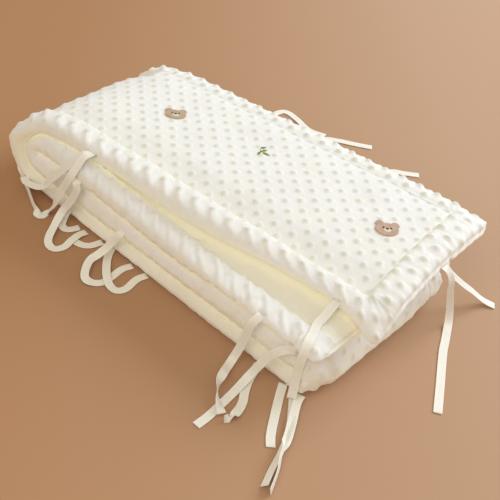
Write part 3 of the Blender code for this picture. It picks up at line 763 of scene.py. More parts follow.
def row_kind(station, side):
    """How closely a station's row is drawn on one face."""
    stretch, end = int(station[STRETCH]), station[FROM_END]
    if end < (RIM_WIDTH + 1.0 if stretch == SECOND else RIM_CREST):
        return "all"
    if side > 0 and stretch in (TOP, OUTER, RIGHT):
        return "all"
    if stretch in (INNER, SECOND) and side < 0:
        return "front"
    if stretch in (LOW, RIGHT) or (stretch == THIRD and side < 0):
        return "few"
    return "rim"


def pad_grid():
    """The pad's points and faces, with each point's place in the cloth."""
    stations = fold_path()
    front, back = rim_lines(-PANEL_HALF - DOT_ACROSS), rim_lines(DOT_ACROSS - PANEL_HALF)
    panel = grid_lines(-PANEL_HALF, PANEL_HALF, GRID, DOT_ACROSS)
    lines = np.concatenate([front - HALF_WIDTH, panel, (HALF_WIDTH - back)[::-1]])
    sets = line_sets(lines, len(front), len(back))
    last_row, last_line = len(stations) - 1, len(lines) - 1
    surfaces = {side: pad_surface(stations, lines, side) for side in (1, -1)}
    kept = {side: [sets[row_kind(s, side)] for s in stations] for side in (1, -1)}
    index = {side: np.full((last_row + 1, last_line + 1), -1) for side in (1, -1)}
    points, rows, columns, sides = [], [], [], []
    for side in (1, -1):
        for i in range(last_row + 1):
            for j in kept[side][i]:
                if side < 0 and (i in (0, last_row) or j in (0, last_line)):
                    index[-1][i, j] = index[1][i, j]
                    continue
                index[side][i, j] = len(points)
                points.append(surfaces[side][i, j])
                rows.append(i)
                columns.append(j)
                sides.append(side)
    faces = []
    for side in (1, -1):
        for i in range(last_row):
            here, there = kept[side][i], kept[side][i + 1]
            shared = here if len(here) <= len(there) else there
            for a, b in zip(shared[:-1], shared[1:]):
                near = here[(here >= a) & (here <= b)]
                far = there[(there >= a) & (there <= b)][::-1]
                ring = [int(index[side][i, j]) for j in near] + [int(index[side][i + 1, j]) for j in far]
                faces.append(tuple(ring[::-1] if side < 0 else ring))
    return (stations, lines, np.array(points), np.array(rows), np.array(columns), np.array(sides),
            faces, index, (len(front) - 1, len(lines) - len(back)))


def dot_lattice(u, v):
    """The nearest dot's middle to each place in the cloth."""
    p, q = (u - DOT_X) / DOT_PITCH, (v - DOT_ACROSS) / DOT_PITCH
    a, b = np.round(0.5 * (p + q)), np.round(0.5 * (p - q))
    return DOT_X + DOT_PITCH * (a + b), DOT_ACROSS + DOT_PITCH * (a - b)


def pleat_field(t, from_seam, pitch, width, slant, seed):
    """Valleys across a border, about a pitch apart, with the cloth swelling between them."""
    rng = np.random.default_rng(seed)
    first, last = math.floor(t.min() / pitch) - 1, math.ceil(t.max() / pitch) + 1
    field = np.zeros_like(t)
    for k in range(first, last + 1):
        jitter, depth = rng.uniform(-PLEAT_JITTER, PLEAT_JITTER), rng.uniform(*PLEAT_DEPTHS)
        lean, wide = rng.normal(), rng.uniform(*PLEAT_WIDTHS)
        middle = (k + 0.5 + jitter) * pitch + slant * lean * (from_seam - LEAN_PIVOT)
        field -= depth * bell(t - middle, wide * width)
    return field + PLEAT_MEAN * width * math.sqrt(math.pi) / pitch


def over_border(cloth, outward=1.0):
    """Cloth length from the stitch line over the border; outward is the face that looks out."""
    return np.where(cloth.sides * outward > 0, BORDER_CLOTH - cloth.edge_length,
                    BORDER_CLOTH + cloth.edge_length)


def cloth_places(stations, lines, rows, columns, sides, points):
    """Each point's place in the cloth, and how free it is of the layers beside it."""
    cloth = SimpleNamespace(sides=sides, across=lines[columns])
    station = stations[rows]
    cloth.stretch = station[:, STRETCH].astype(int)
    cloth.end, cloth.u = station[:, FROM_END], station[:, ALONG]
    cloth.front, cloth.back = cloth.across < 0, cloth.across > 0
    cloth.edge = HALF_WIDTH - np.abs(cloth.across)
    cloth.distance = np.minimum(cloth.edge, cloth.end)
    cloth.edge_length = cloth_length(cloth.edge)
    cloth.from_seam = np.minimum(cloth.edge_length, cloth_length(np.minimum(cloth.end, HALF_WIDTH)))
    cloth.in_rim = smooth(RIM_WIDTH + STITCH_BLEND, RIM_WIDTH - STITCH_BLEND, cloth.distance)
    cloth.nearer_end = smooth(-END_BLEND, END_BLEND, cloth.edge - cloth.end)
    cloth.v = np.where(cloth.edge < RIM_WIDTH, np.sign(cloth.across) * (PANEL_HALF + over_border(cloth)),
                       cloth.across)
    second, dotted = cloth.stretch == SECOND, sides > 0
    cloth.smooth_face = ~dotted & ~(second & (cloth.distance < RIM_WIDTH) & (cloth.edge < RIM_WIDTH))

    # pleats keep clear of the places where a layer runs into a fold
    change = np.flatnonzero(np.diff(stations[:, STRETCH])) + 0.5
    steps = np.hypot(np.diff(stations[:, X]), np.diff(stations[:, Z]))
    path = np.concatenate([[0.0], np.cumsum(steps)])
    joins = np.interp(change, np.arange(len(path)), path)
    cloth.join = smooth(0.0, JOIN_REACH, np.abs(path[rows][:, None] - joins[None, :]).min(axis=1))

    # the layers press each other flat where they meet
    in_stack = smooth(LAYERS_TOUCH + TOUCH_BLEND[0], LAYERS_TOUCH + TOUCH_BLEND[1], cloth.distance)
    cloth.on_top = (cloth.stretch == TOP) & dotted
    cloth.round_left = (cloth.stretch == OUTER) & dotted
    cloth.round_right = (cloth.stretch == RIGHT) & dotted
    cloth.outside = cloth.on_top | cloth.round_left | cloth.round_right
    open_front = second & ~dotted & cloth.front
    bare = smooth(*BARE_Y, points[:, 1])
    cloth.bare_front = open_front & (bare > 0.5)
    cloth.free = np.where(cloth.outside, 1.0, np.where(open_front, np.maximum(bare, in_stack), in_stack))
    return cloth


def dots(cloth, sizes):
    """Height of the raised dots, and how far each point lies in a dot's darker centre: partly greyer pile,
    partly painted shade on its side away from the light.
    """
    near_u, near_v = dot_lattice(cloth.u, cloth.v)
    du, dv = cloth.u - near_u, cloth.v - near_v
    away = np.hypot(du, dv) / (sizes.dot_radius / MM * (1.0 + RIM_DOT_SPREAD * cloth.in_rim))
    dome = np.clip(1.0 - away ** DOT_SHOULDER, 0.0, None) ** DOT_CROWN
    height = (sizes.dot_height + (sizes.rim_dot_height - sizes.dot_height) * cloth.in_rim) / MM
    shown = ~cloth.smooth_face & (cloth.outside | (cloth.distance < RIM_WIDTH) | (cloth.stretch == RIGHT))
    cut = np.maximum(smooth(*DOT_CUT, np.abs(cloth.distance - RIM_WIDTH)),
                     cloth.on_top & cloth.back & (cloth.end > cloth.edge))
    dome = dome * shown * cut * smooth(*DOT_SEAM, cloth.from_seam)
    for _, _, patch_x, patch_y, _ in PATCHES:
        gone = np.hypot(near_u - patch_x, near_v + TOP_CENTRE_Y - patch_y) < PATCH_CLEAR
        dome = np.where(cloth.on_top & gone, 0.0, dome)
    at_front = cloth.front & (cloth.end > RIM_WIDTH) & (cloth.edge < RIM_WIDTH)
    down = over_border(cloth, np.where(cloth.stretch == SECOND, -1.0, 1.0))
    dome = dome * (1.0 - DOT_FADE[cloth.stretch] * np.where(at_front, smooth(*FADE_DOWN, down), 0.0))
    dome = dome * np.where(at_front & cloth.on_top, TOP_FRONT_DOTS, 1.0) * DOT_SHARE[cloth.stretch]
    # painted shade, with greyer pile: a darker centre set a little towards the side of each dot that is away
    # from the light
    off_pile_and_shade = ((du - DOT_PILE_AND_SHADE_SHIFT[0]) ** 2 + (dv - DOT_PILE_AND_SHADE_SHIFT[1]) ** 2) / DOT_PILE_AND_SHADE_RADIUS ** 2
    dot_pile_and_shade = np.exp(-off_pile_and_shade ** DOT_PILE_AND_SHADE_POWER) * np.minimum(1.0, 2.0 * smooth(0.0, 0.5, dome))
    return height * dome * cloth.free, dot_pile_and_shade * DOT_PILE_AND_SHADE_SHARE[cloth.stretch]


def add_pleats(cloth, relief):
    """Pleats along the border, and folds that fan out at its corners."""
    at_end = cloth.end < cloth.edge
    for stretch, place, pitch, depth, width, slant, seed in PLEATS:
        where = {"end": at_end, "front": cloth.front & ~at_end, "back": cloth.back & ~at_end}[place]
        mask = (cloth.stretch == stretch) & where
        along = (cloth.across if place == "end" else cloth.u)[mask]
        from_seam = cloth.from_seam[mask]
        field = pleat_field(along, from_seam, pitch, width, slant, seed)
        rise = smooth(BORDER_CLOTH, 0.25 * BORDER_CLOTH, from_seam)
        strength = depth * cloth.in_rim[mask] * (PLEAT_AT_STITCH + (1.0 - PLEAT_AT_STITCH) * rise)
        mitre = smooth(0.0, MITRE, np.abs(cloth.end - cloth.edge)[mask])
        if stretch == TOP and place == "front":
            strength = strength * (1.0 - TOP_FRONT_FADE * smooth(*TOP_FRONT_X, along))
        under = np.where((cloth.sides[mask] < 0) & (stretch in (TOP, OUTER)), PLEAT_INSIDE, 1.0)
        relief[mask] += field * strength * mitre * under * (cloth.free * cloth.join)[mask]
    for stretch, sign, count, depth in FANS:
        end_x = TOP_END_X if stretch == TOP else SECOND_END_X
        du, dv = cloth.u - (end_x - RIM_WIDTH), sign * cloth.v - PANEL_HALF
        radius, angle = np.hypot(du, dv), np.arctan2(dv, du)
        mask = (cloth.stretch == stretch) & (sign * cloth.across > 0) & (du > FAN_MARGIN) & (dv > FAN_MARGIN)
        wave = np.cos(2.0 * count * angle + 0.7 * np.sin(3.0 * angle))
        window = smooth(0.0, FAN_INNER, radius) * smooth(FAN_OUTER, FAN_INNER, radius)
        relief += np.where(mask, depth * wave * window * cloth.in_rim * cloth.free, 0.0)


def add_ridges(cloth, relief):
    """Slanted ridges that run from dot to dot down the border's outer side."""
    u, v = cloth.u, cloth.v
    for stretch, sign, depth, fine in RIDGES:
        dots_out = stretch in (TOP, OUTER, RIGHT)
        mask = (cloth.stretch == stretch) & (sign * cloth.across > 0) & (cloth.end > RIM_WIDTH)
        down = over_border(cloth, 1.0 if dots_out else -1.0)
        phase = math.tau * ((u + v if dots_out else u - v) - DOT_X - DOT_ACROSS) / (2.0 * DOT_PITCH)
        phase = phase + 0.35 * np.sin(u / 37.0 + 0.5) + 0.3 * np.sin(u / 13.0 + down / 9.0)
        wave = np.maximum(0.0, 0.5 + 0.5 * np.cos(phase)) ** RIDGE_POWER - RIDGE_MEAN
        small = 0.5 * np.cos(2.0 * phase + 1.1 + np.sin(u / 23.0))
        start = RIDGE_START[0] if stretch in (TOP, OUTER) else RIDGE_START[1]
        window = smooth(start, start + RIDGE_RISE, down) * smooth(*RIDGE_END, down)
        relief += np.where(mask, (depth * wave + fine * small) * window * cloth.free * cloth.join, 0.0)


def add_seams(cloth, relief):
    """The drawn in stitch line and the standing sewn edge; returns how near each point is to either."""
    off_stitch, back_top = cloth.distance - RIM_WIDTH, cloth.on_top & cloth.back
    sets = (cloth.on_top * cloth.nearer_end, back_top * (1.0 - cloth.nearer_end), cloth.round_right)
    for (depth, over_rim, into_panel), filled in zip(VALLEY_FILLS, sets):
        relief += depth * filled * bell(off_stitch, np.where(off_stitch > 0.0, into_panel, over_rim))
    relief -= CREASE_DEPTH * bell(off_stitch, CREASE_HALF) * np.where(
        back_top, 1.0 - BACK_CREASE * (1.0 - cloth.nearer_end), 1.0)
    at_free_end = (cloth.end < cloth.edge + 1.0) & ((cloth.stretch == TOP) | (cloth.stretch == SECOND))
    clear = smooth(*SEAM_CLEAR, cloth.edge) * at_free_end
    shown = SEAM_SHOWN + (1.0 - SEAM_SHOWN) * clear
    relief += shown * SEAM_RIDGE * bell(cloth.from_seam, SEAM_RIDGE_HALF)
    relief -= shown * SEAM_GROOVE * bell(cloth.from_seam - GROOVE_PLACE, GROOVE_HALF)
    # painted shade: how near the stitch line or the sewn edge, for the material to darken and warm there
    return np.maximum(bell(off_stitch, CREASE_SHADE_HALF), shown * bell(cloth.from_seam, SEAM_SHADE_HALF))


def pad_relief(cloth, sizes):
    """How far each point of the pad stands out, its share of a dot's darker centre (greyer pile and painted
    shade), and its share of the painted shade beside a stitch line or seam.
    """
    relief, dot_pile_and_shade = dots(cloth, sizes)

    # the border of the top layer and the bare border below it are stuffed full
    full = smooth(*ROLL_SEAM, cloth.from_seam) * smooth(*ROLL_STITCH, cloth.distance)
    top_share = cloth.on_top * np.where(cloth.front, 1.0, cloth.nearer_end)
    relief += ROLL_RISE * full * (top_share + cloth.round_left + cloth.bare_front)
    add_pleats(cloth, relief)
    add_ridges(cloth, relief)

    # slow unevenness of the filling
    u, v = cloth.u, cloth.v
    slow = np.sin(u / 17.0 + 1.3) * np.sin(v / 23.0 + 0.4) + 0.7 * np.sin(u / 31.0 - v / 27.0)
    relief += UNEVEN_RISE * slow * cloth.free * smooth(0.0, 20.0, cloth.from_seam)
    return relief, dot_pile_and_shade, add_seams(cloth, relief)


def depth_in_folds(points, normals, faces):
    """0 for a point in the open, up to 1 deep in a fold: the share of its view that is near cloth."""
    tree = BVHTree.FromPolygons([tuple(p) for p in points], faces)
    helper = np.where(np.abs(normals[:, 2:3]) < 0.9, (0.0, 0.0, 1.0), (1.0, 0.0, 0.0))
    side = np.cross(helper, normals)
    side /= np.maximum(np.linalg.norm(side, axis=1)[:, None], 1e-9)
    front = np.cross(normals, side)
    starts = points + DEPTH_START * normals
    found = np.zeros(len(points))
    for tilt, count, turn in DEPTH_RAYS:
        for k in range(count):
            angle = math.tau * (k + turn) / count
            flat, up = math.sin(math.radians(tilt)), math.cos(math.radians(tilt))
            aims = flat * (math.cos(angle) * side + math.sin(angle) * front) + up * normals
            for i, (start, aim) in enumerate(zip(starts.tolist(), aims.tolist())):
                reach = tree.ray_cast(start, aim, DEPTH_REACH)[3]
                if reach is not None:
                    found[i] += (1.0 - reach / DEPTH_REACH) / count / len(DEPTH_RAYS)
    return found


def keep_under_ribbons(points, normals, relief):
    """Hold the pad down where a ribbon lies on it."""
    corners, faces = [], []
    for ribbon in bpy.context.scene.objects:
        if ribbon.name.startswith("ribbon_"):
            add_form(corners, faces, [tuple(p) for p in point_array(ribbon)],
                 [p.vertices for p in ribbon.data.polygons])
    tree = BVHTree.FromPolygons(corners, faces)
    near = KDTree(len(corners))
    for k, corner in enumerate(corners):
        near.insert(corner, k)
    near.balance()
    for k, (point, normal) in enumerate(zip(points, normals)):
        if near.find(point)[2] > RIBBON_REACH:
            continue
        start = Vector(point - RIBBON_BELOW * normal)
        reach = RIBBON_BELOW + relief[k] + RIBBON_PRESS + RIBBON_AIR
        found = tree.ray_cast(start, Vector(normal), reach)[3]
        if found is not None:
            relief[k] = min(relief[k], found - RIBBON_BELOW - RIBBON_PRESS)
    return relief


# ---- materials
def set_sockets(tree, node, sockets):
    """Give each named socket of a node its plain value, or link it."""
    for name, value in sockets.items():
        if isinstance(value, bpy.types.NodeSocket):
            tree.links.new(value, node.inputs[name])
        else:
            node.inputs[name].default_value = value


def add_node(tree, kind, sockets, **settings):
    """A new node with its settings made and its sockets filled."""
    node = tree.nodes.new("ShaderNode" + kind)
    for name, value in settings.items():
        setattr(node, name, value)
    set_sockets(tree, node, sockets)
    return node


def shader_material(name, colour, roughness, sheen, specular=0.25):
    """A material with one shader whose plain values are set on its own sockets."""
    mat = bpy.data.materials.new(name)
    mat.use_nodes = True
    shader = mat.node_tree.nodes["Principled BSDF"]
    set_sockets(mat.node_tree, shader, {
        "Base Color": (*colour, 1.0), "Roughness": roughness, "Sheen Weight": sheen,
        "Sheen Roughness": 0.45, "Specular IOR Level": specular})
    return mat, mat.node_tree, shader


def noise(tree, coordinates, scale, detail=3.0, roughness=0.55, distortion=0.0):
    """A noise texture's value socket."""
    return add_node(tree, "TexNoise", {
        "Vector": coordinates, "Scale": scale, "Detail": detail,
        "Roughness": roughness, "Distortion": distortion}).outputs["Fac"]


def attribute(tree, name):
    """A mesh attribute's value socket."""
    return add_node(tree, "Attribute", {}, attribute_name=name).outputs["Fac"]


def blend(tree, factor, first, second):
    """A colour mix by a factor socket; first and second are sockets or colours."""
    node = add_node(tree, "Mix", {}, data_type="RGBA")
    tree.links.new(factor, node.inputs[0])
    for slot, value in zip([s for s in node.inputs if s.type == "RGBA"], (first, second)):
        if isinstance(value, bpy.types.NodeSocket):
            tree.links.new(value, slot)
        else:
            slot.default_value = (*value, 1.0)
    return next(s for s in node.outputs if s.type == "RGBA")


def ranged(tree, value, low, high, to_low, to_high):
    """A value moved from one range to another."""
    return add_node(tree, "MapRange", {
        "Value": value, "From Min": low, "From Max": high,
        "To Min": to_low, "To Max": to_high}).outputs["Result"]


def bump(tree, height, distance, strength=1.0, after=None):
    """A bump node's normal socket."""
    sockets = {"Height": height, "Distance": distance, "Strength": strength}
    if after is not None:
        sockets["Normal"] = after
    return add_node(tree, "Bump", sockets).outputs["Normal"]


def object_coordinates(tree, stretch=None):
    """The object's own coordinates in metres, stretched along one axis if asked."""
    place = add_node(tree, "TexCoord", {}).outputs["Object"]
    if stretch is None:
        return place
    return add_node(tree, "Mapping", {"Vector": place, "Scale": stretch}).outputs["Vector"]


def tinted(colour, factor):
    """A colour times a factor for each channel."""
    return tuple(c * f for c, f in zip(colour, factor))


def toned(tree, shade, value, window, shares, tint):
    """A shade that takes on a tint, by shares that follow a value across its window."""
    return blend(tree, ranged(tree, value, *window, *shares), shade, tint)


def plush_material(name, colour, pile):
    """Short-pile plush: fine pile, brushed clumps, dots greyed by their pile and by painted shade, painted
    warmer shade by the stitch lines, seams and folds, and a painted glow deep in the folds.
    """
    mat, tree, shader = shader_material(name, colour, 0.88, 0.25)
    place = object_coordinates(tree)
    clumps = noise(tree, place, 190.0, 3.0, 0.6)
    brushed = noise(tree, place, 26.0, 2.0, 0.5, 0.6)
    shade = blend(tree, ranged(tree, brushed, 0.35, 0.65, 0.0, 1.0),
                  tinted(colour, (0.975, 0.97, 0.955)), colour)
    shade = toned(tree, shade, clumps, (0.3, 0.7), (0.22, 0.0), tinted(colour, (0.90, 0.89, 0.86)))
    for name, window, share, tint in (
            # partly greyer pile, partly painted shade in each dot
            ("dot", (0.1, 0.95), 0.85, tinted(colour, (0.78, 0.78, 0.70))),
            # painted shade beside the stitch line and the seam
            ("painted_crease_shade", (0.1, 1.0), 0.5, tinted(colour, (0.97, 0.95, 0.85))),
            # painted shade deep in folds and on cloth turned away from the light
            ("depth", (0.04, 0.55), 1.0, (0.96, 0.93, 0.80)),
            ("depth", (0.6, 0.95), 1.0, (0.90, 0.85, 0.66))):
        shade = toned(tree, shade, attribute(tree, name), window, (0.0, share), tint)
    # painted light: a faint warm glow deep in the folds, though no lamp is there
    painted_fold_light = ranged(tree, attribute(tree, "depth"), 0.10, 0.8, 0.0, 0.10)
    soft = bump(tree, clumps, 0.0009, 0.55)
    fine = bump(tree, noise(tree, place, 1100.0, 2.0, 0.6), pile, 0.7, soft)
    set_sockets(tree, shader, {
        "Subsurface Weight": 0.25, "Subsurface Radius": (1.0, 0.85, 0.5), "Subsurface Scale": 0.006,
        "Emission Color": (1.0, 0.965, 0.82, 1.0), "Emission Strength": painted_fold_light,
        "Base Color": shade, "Normal": fine})
    return mat


def ribbon_material(colour):
    """Satin ribbon: fine ribs across it, firmer edges and a soft shine."""
    mat, tree, shader = shader_material("satin_ribbon", colour, 0.42, 0.15, 0.45)
    weave = add_node(tree, "UVMap", {}, uv_map="weave").outputs["UV"]
    ribs = add_node(tree, "TexWave", {"Vector": weave, "Scale": 0.35, "Distortion": 0.4, "Detail": 1.0},
                    wave_type="BANDS", bands_direction="X").outputs["Fac"]
    slubs = noise(tree, weave, 0.25, 2.0)
    shade = blend(tree, ranged(tree, slubs, 0.3, 0.7, 0.0, 1.0), tinted(colour, (0.95, 0.945, 0.93)), colour)
    shade = toned(tree, shade, ribs, (0.0, 1.0), (0.10, 0.0), tinted(colour, (0.85, 0.82, 0.76)))
    shade = toned(tree, shade, attribute(tree, "selvedge"), (0.0, 1.0), (0.0, 0.5),
                  tinted(colour, (1.04, 1.04, 1.04)))
    set_sockets(tree, shader, {"Base Color": shade, "Normal": bump(tree, ribs, 0.00012, 0.6)})
    return mat


def felt_material(name, colour):
    """Brushed felt with short matted fibres."""
    mat, tree, shader = shader_material(name, colour, 0.9, 0.2)
    place = object_coordinates(tree)
    fibres = noise(tree, object_coordinates(tree, (1.0, 2.6, 1.0)), 520.0, 4.0, 0.65, 1.2)
    patches = noise(tree, place, 110.0, 2.0, 0.5)
    shade = blend(tree, ranged(tree, patches, 0.35, 0.65, 0.0, 1.0), tinted(colour, (0.84, 0.82, 0.80)),
                  tinted(colour, (1.10, 1.10, 1.10)))
    shade = toned(tree, shade, fibres, (0.3, 0.7), (0.45, 0.0), tinted(colour, (0.72, 0.70, 0.68)))
    set_sockets(tree, shader, {"Base Color": shade, "Normal": bump(tree, fibres, 0.0006, 0.8)})
    return mat


def thread_material(name, colour, roughness=0.5):
    """Embroidery thread: close strands with a slight shine."""
    mat, tree, shader = shader_material(name, colour, roughness, 0.1)
    strands = noise(tree, object_coordinates(tree, (1.0, 3.0, 1.0)), 900.0, 3.0, 0.6, 0.5)
    shade = blend(tree, ranged(tree, strands, 0.3, 0.7, 0.0, 1.0), tinted(colour, (0.72, 0.74, 0.70)),
                  tinted(colour, (1.15, 1.12, 1.10)))
    set_sockets(tree, shader, {"Base Color": shade, "Normal": bump(tree, strands, 0.0003, 0.8)})
    return mat


def floor_material(colour):
    """Plain paper: painted light in one slow change of tone across it, darker and warmer towards the
    camera's left, lighter and cooler towards its right, and a faint grain.
    """
    mat, tree, shader = shader_material("floor_paper", colour, 0.85, 0.0)
    place = object_coordinates(tree)
    # painted light: a slow fall of light across the floor
    across = add_node(tree, "VectorMath", {0: place, 1: (0.79, 0.61, 0.0)}, operation="DOT_PRODUCT")
    shade = blend(tree, ranged(tree, across.outputs["Value"], -0.34, 0.40, 0.0, 1.0),
                  tinted(colour, (0.90, 0.86, 0.79)), tinted(colour, (1.06, 1.22, 1.46)))
    grain = noise(tree, place, 420.0, 2.0, 0.5)
    shade = toned(tree, shade, grain, (0.35, 0.65), (0.0, 0.05), tinted(colour, (0.8, 0.8, 0.8)))
    tree.links.new(shade, shader.inputs["Base Color"])
    return mat


# ---- ribbons
def ribbon_sections(table):
    """Middle, face direction, travel direction and length so far, at close steps along one tail."""
    table = [row if len(row) > 2 else row + ON_FLOOR for row in table]
    points = [Vector(row[:3]) for row in table]
    faces = []
    for row in table:
        compass, height = math.radians(row[3]), math.radians(row[4])
        faces.append(Vector((math.cos(height) * math.cos(compass),
                             math.cos(height) * math.sin(compass), math.sin(height))))
    middles, looks, travels = [points[0]], [faces[0]], [(points[1] - points[0]).normalized()]
    last = len(points) - 1
    for k in range(last):
        before, after = points[max(0, k - 1)], points[min(last, k + 2)]
        here, there = points[k], points[k + 1]
        reach = (there - here).length
        pull_here = (there - before).normalized() * reach
        pull_there = (after - here).normalized() * reach
        steps = max(2, round(reach / RIBBON_STEP))
        for step in range(1, steps + 1):
            t = step / steps
            a, b = 2 * t ** 3 - 3 * t ** 2 + 1, t ** 3 - 2 * t ** 2 + t
            c, d = 3 * t ** 2 - 2 * t ** 3, t ** 3 - t ** 2
            middles.append(here * a + pull_here * b + there * c + pull_there * d)
            looks.append(faces[k].lerp(faces[k + 1], t * t * (3 - 2 * t)))
            a, b, c, d = 6 * t * t - 6 * t, 3 * t * t - 4 * t + 1, 6 * t - 6 * t * t, 3 * t * t - 2 * t
            travels.append((here * a + pull_here * b + there * c + pull_there * d).normalized())
    return middles, looks, travels


def ribbon_piece(name, table, sizes, mat):
    """One tail: a thin strip with firmer edges, through its table's points."""
    middles, looks, travels = ribbon_sections(table)
    width, thick = sizes.ribbon_width / MM, sizes.ribbon_thickness / MM
    edge = 1.0 - 2.0 * SELVEDGE / width
    across = (-1.0, -edge, -0.5 * edge, 0.0, 0.5 * edge, edge, 1.0)
    body = (1.0, *[RIBBON_BODY] * 5, 1.0)
    ring = [(a, -h) for a, h in zip(across, body)] + [(a, h) for a, h in zip(across[::-1], body)]
    rows, weave, selvedge = [], [], []
    length = 0.0
    for k, middle in enumerate(middles):
        wide = looks[k].cross(travels[k]).normalized()
        up = travels[k].cross(wide)
        rest = RIBBON_AIR + 0.5 * width * abs(wide.z) + 0.5 * thick * abs(up.z)
        middle = Vector((middle.x, middle.y, max(middle.z, rest)))
        length += (middle - last_middle).length if k else 0.0
        last_middle = middle
        for a, h in ring:
            rows.append(middle + wide * (0.5 * width * a) + up * (0.5 * thick * h))
            weave.append((length, 0.5 * width * a))
            selvedge.append(1.0 if abs(a) > edge - 0.01 else 0.0)
    around, last = len(ring), len(middles) - 1
    faces = [tuple(range(around))[::-1], tuple(around * last + c for c in range(around))]
    for k in range(last):
        faces.extend(ring_quads(around * k, around * (k + 1), around))
    obj = add_mesh("ribbon_" + name, rows, faces, [mat])
    add_attribute(obj, "selvedge", selvedge)
    corner_points = np.empty(len(obj.data.loops), np.int32)
    obj.data.loops.foreach_get("vertex_index", corner_points)
    layer = obj.data.uv_layers.new(name="weave")
    layer.data.foreach_set("uv", np.array(weave)[corner_points].ravel())
    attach(obj, BODY)
    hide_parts("tie_" + name)
    return obj


# ---- stitches, patches and sprig
def capsule(radius, half_length, around=8):
    """Points and faces of one stitch lying along x."""
    shape = ((-1.0, 0.0), (-0.86, 0.62), (-0.4, 0.96), (0.4, 0.96), (0.86, 0.62), (1.0, 0.0))
    points, faces = [(-half_length, 0.0, 0.0)], []
    for x, r in shape[1:-1]:
        points.extend((x * half_length, radius * r * math.cos(angle), radius * r * math.sin(angle))
                      for angle in round_steps(around))
    points.append((half_length, 0.0, 0.0))
    end = len(points) - 1
    for k in range(around):
        n = (k + 1) % around
        faces.append((0, 1 + n, 1 + k))
        for ring in range(len(shape) - 3):
            a, b = 1 + ring * around, 1 + (ring + 1) * around
            faces.append((a + k, a + n, b + n, b + k))
        last = 1 + (len(shape) - 3) * around
        faces.append((last + k, last + n, end))
    return np.array(points), faces


def stitch_run(path, ups, spacing, radius, sink):
    """One joined set of stitches along a path of points."""
    path, ups = np.asarray(path), np.asarray(ups)
    lengths = np.concatenate([[0.0], np.cumsum(np.linalg.norm(np.diff(path, axis=0), axis=1))])
    places = np.arange(0.5 * spacing, lengths[-1], spacing)
    middle = np.stack([np.interp(places, lengths, path[:, k]) for k in range(3)], axis=1)
    ahead = np.stack([np.interp(places + 0.5, lengths, path[:, k]) for k in range(3)], axis=1)
    up = np.stack([np.interp(places, lengths, ups[:, k]) for k in range(3)], axis=1)
    shape, shape_faces = capsule(radius, 0.34 * spacing)
    points, faces = [], []
    for place, front, normal in zip(middle, ahead, up):
        along = Vector(front - place)
        if along.length < 1e-6:
            continue
        along.normalize()
        normal = Vector(normal)
        side = normal.cross(along).normalized()
        normal = along.cross(side)
        turn = np.array([along, side, normal])
        add_form(points, faces, shape @ turn + place + np.array(normal) * (radius - sink), shape_faces)
    return points, faces


def border_stitches(stations, index, stitch_lines, points, normals, spacing):
    """The border's thread along the stitch lines, on the faces that show."""
    made, made_faces = [], []
    end_rows = np.flatnonzero(np.abs(stations[:, FROM_END] - RIM_WIDTH) < 0.01)
    for side, stretches, row in ((1, (TOP, OUTER), end_rows[0]), (-1, (SECOND,), end_rows[-1])):
        chosen = [i for i, station in enumerate(stations)
                  if int(station[STRETCH]) in stretches and station[FROM_END] >= RIM_WIDTH - 0.01]
        paths = [[int(index[side][i, line]) for i in chosen] for line in stitch_lines]
        paths.append([int(k) for k in index[side][row, stitch_lines[0]:stitch_lines[1] + 1] if k >= 0])
        for path in paths:
            run = stitch_run(points[path], normals[path], spacing, STITCH_RADIUS, STITCH_SINK)
            add_form(made, made_faces, *run)
    return made, made_faces


def face_outline(angle):
    """Distance from the face's middle to its edge: an oval head and two round ears."""
    ray = Vector((math.cos(angle), math.sin(angle)))
    reach = 1.0 / math.hypot(ray.x / (0.5 * HEAD_WIDTH), ray.y / (0.5 * HEAD_HEIGHT))
    for turn in (1.0, -1.0):
        ear = Vector((turn * EAR_OUT, EAR_UP))
        along = ray.dot(ear)
        miss = ear.length_squared - along * along
        if along > 0.0 and miss < EAR_RADIUS ** 2:
            reach = max(reach, along + math.sqrt(EAR_RADIUS ** 2 - miss))
    return reach


def laid_form(tree, outline, profile, lift, turn_deg, centre, origin=(0.0, 0.0)):
    """A closed padded form with a given outline, laid on the cloth below it."""
    count = len(outline)
    turn = math.radians(turn_deg - 90.0)
    rows, faces = [], []
    per_layer = 1 + (len(profile) - 1) * count
    for layer in (0, 1):
        for ring, (share, height) in enumerate(profile):
            for x, y in (outline if ring else [(0.0, 0.0)]):
                px, py = origin[0] + share * x, origin[1] + share * y
                gx = centre[0] + px * math.cos(turn) - py * math.sin(turn)
                gy = centre[1] + px * math.sin(turn) + py * math.cos(turn)
                rows.append((gx, gy, drop(tree, gx, gy).z + lift + layer * height))
    for layer in (0, 1):
        base = layer * per_layer
        for k in range(count):
            n = (k + 1) % count
            ring_faces = [(base, base + 1 + k, base + 1 + n)]
            for ring in range(len(profile) - 2):
                inner, outer = base + 1 + ring * count, base + 1 + (ring + 1) * count
                ring_faces.append((inner + k, outer + k, outer + n, inner + n))
            faces.extend(f if layer else f[::-1] for f in ring_faces)
    edge = 1 + (len(profile) - 2) * count
    faces.extend(ring_quads(edge, per_layer + edge, count))
    return rows, faces


def oval(half_width, half_height, count=28):
    """Points round an oval."""
    return [(half_width * math.cos(angle), half_height * math.sin(angle)) for angle in round_steps(count)]


# ---- operators
class BUMPER_OT_ties(Operator):
    """Make the satin ribbon ties"""
    bl_idname = "bumper.ties"
    bl_label = "Ribbon ties"

    def execute(self, context):
        scene = context.scene
        mat = ribbon_material(tuple(scene.bumper_colours.ribbon))
        for name, table in TIES.items():
            ribbon_piece(name, table, scene.bumper_sizes, mat)
        return {"FINISHED"}


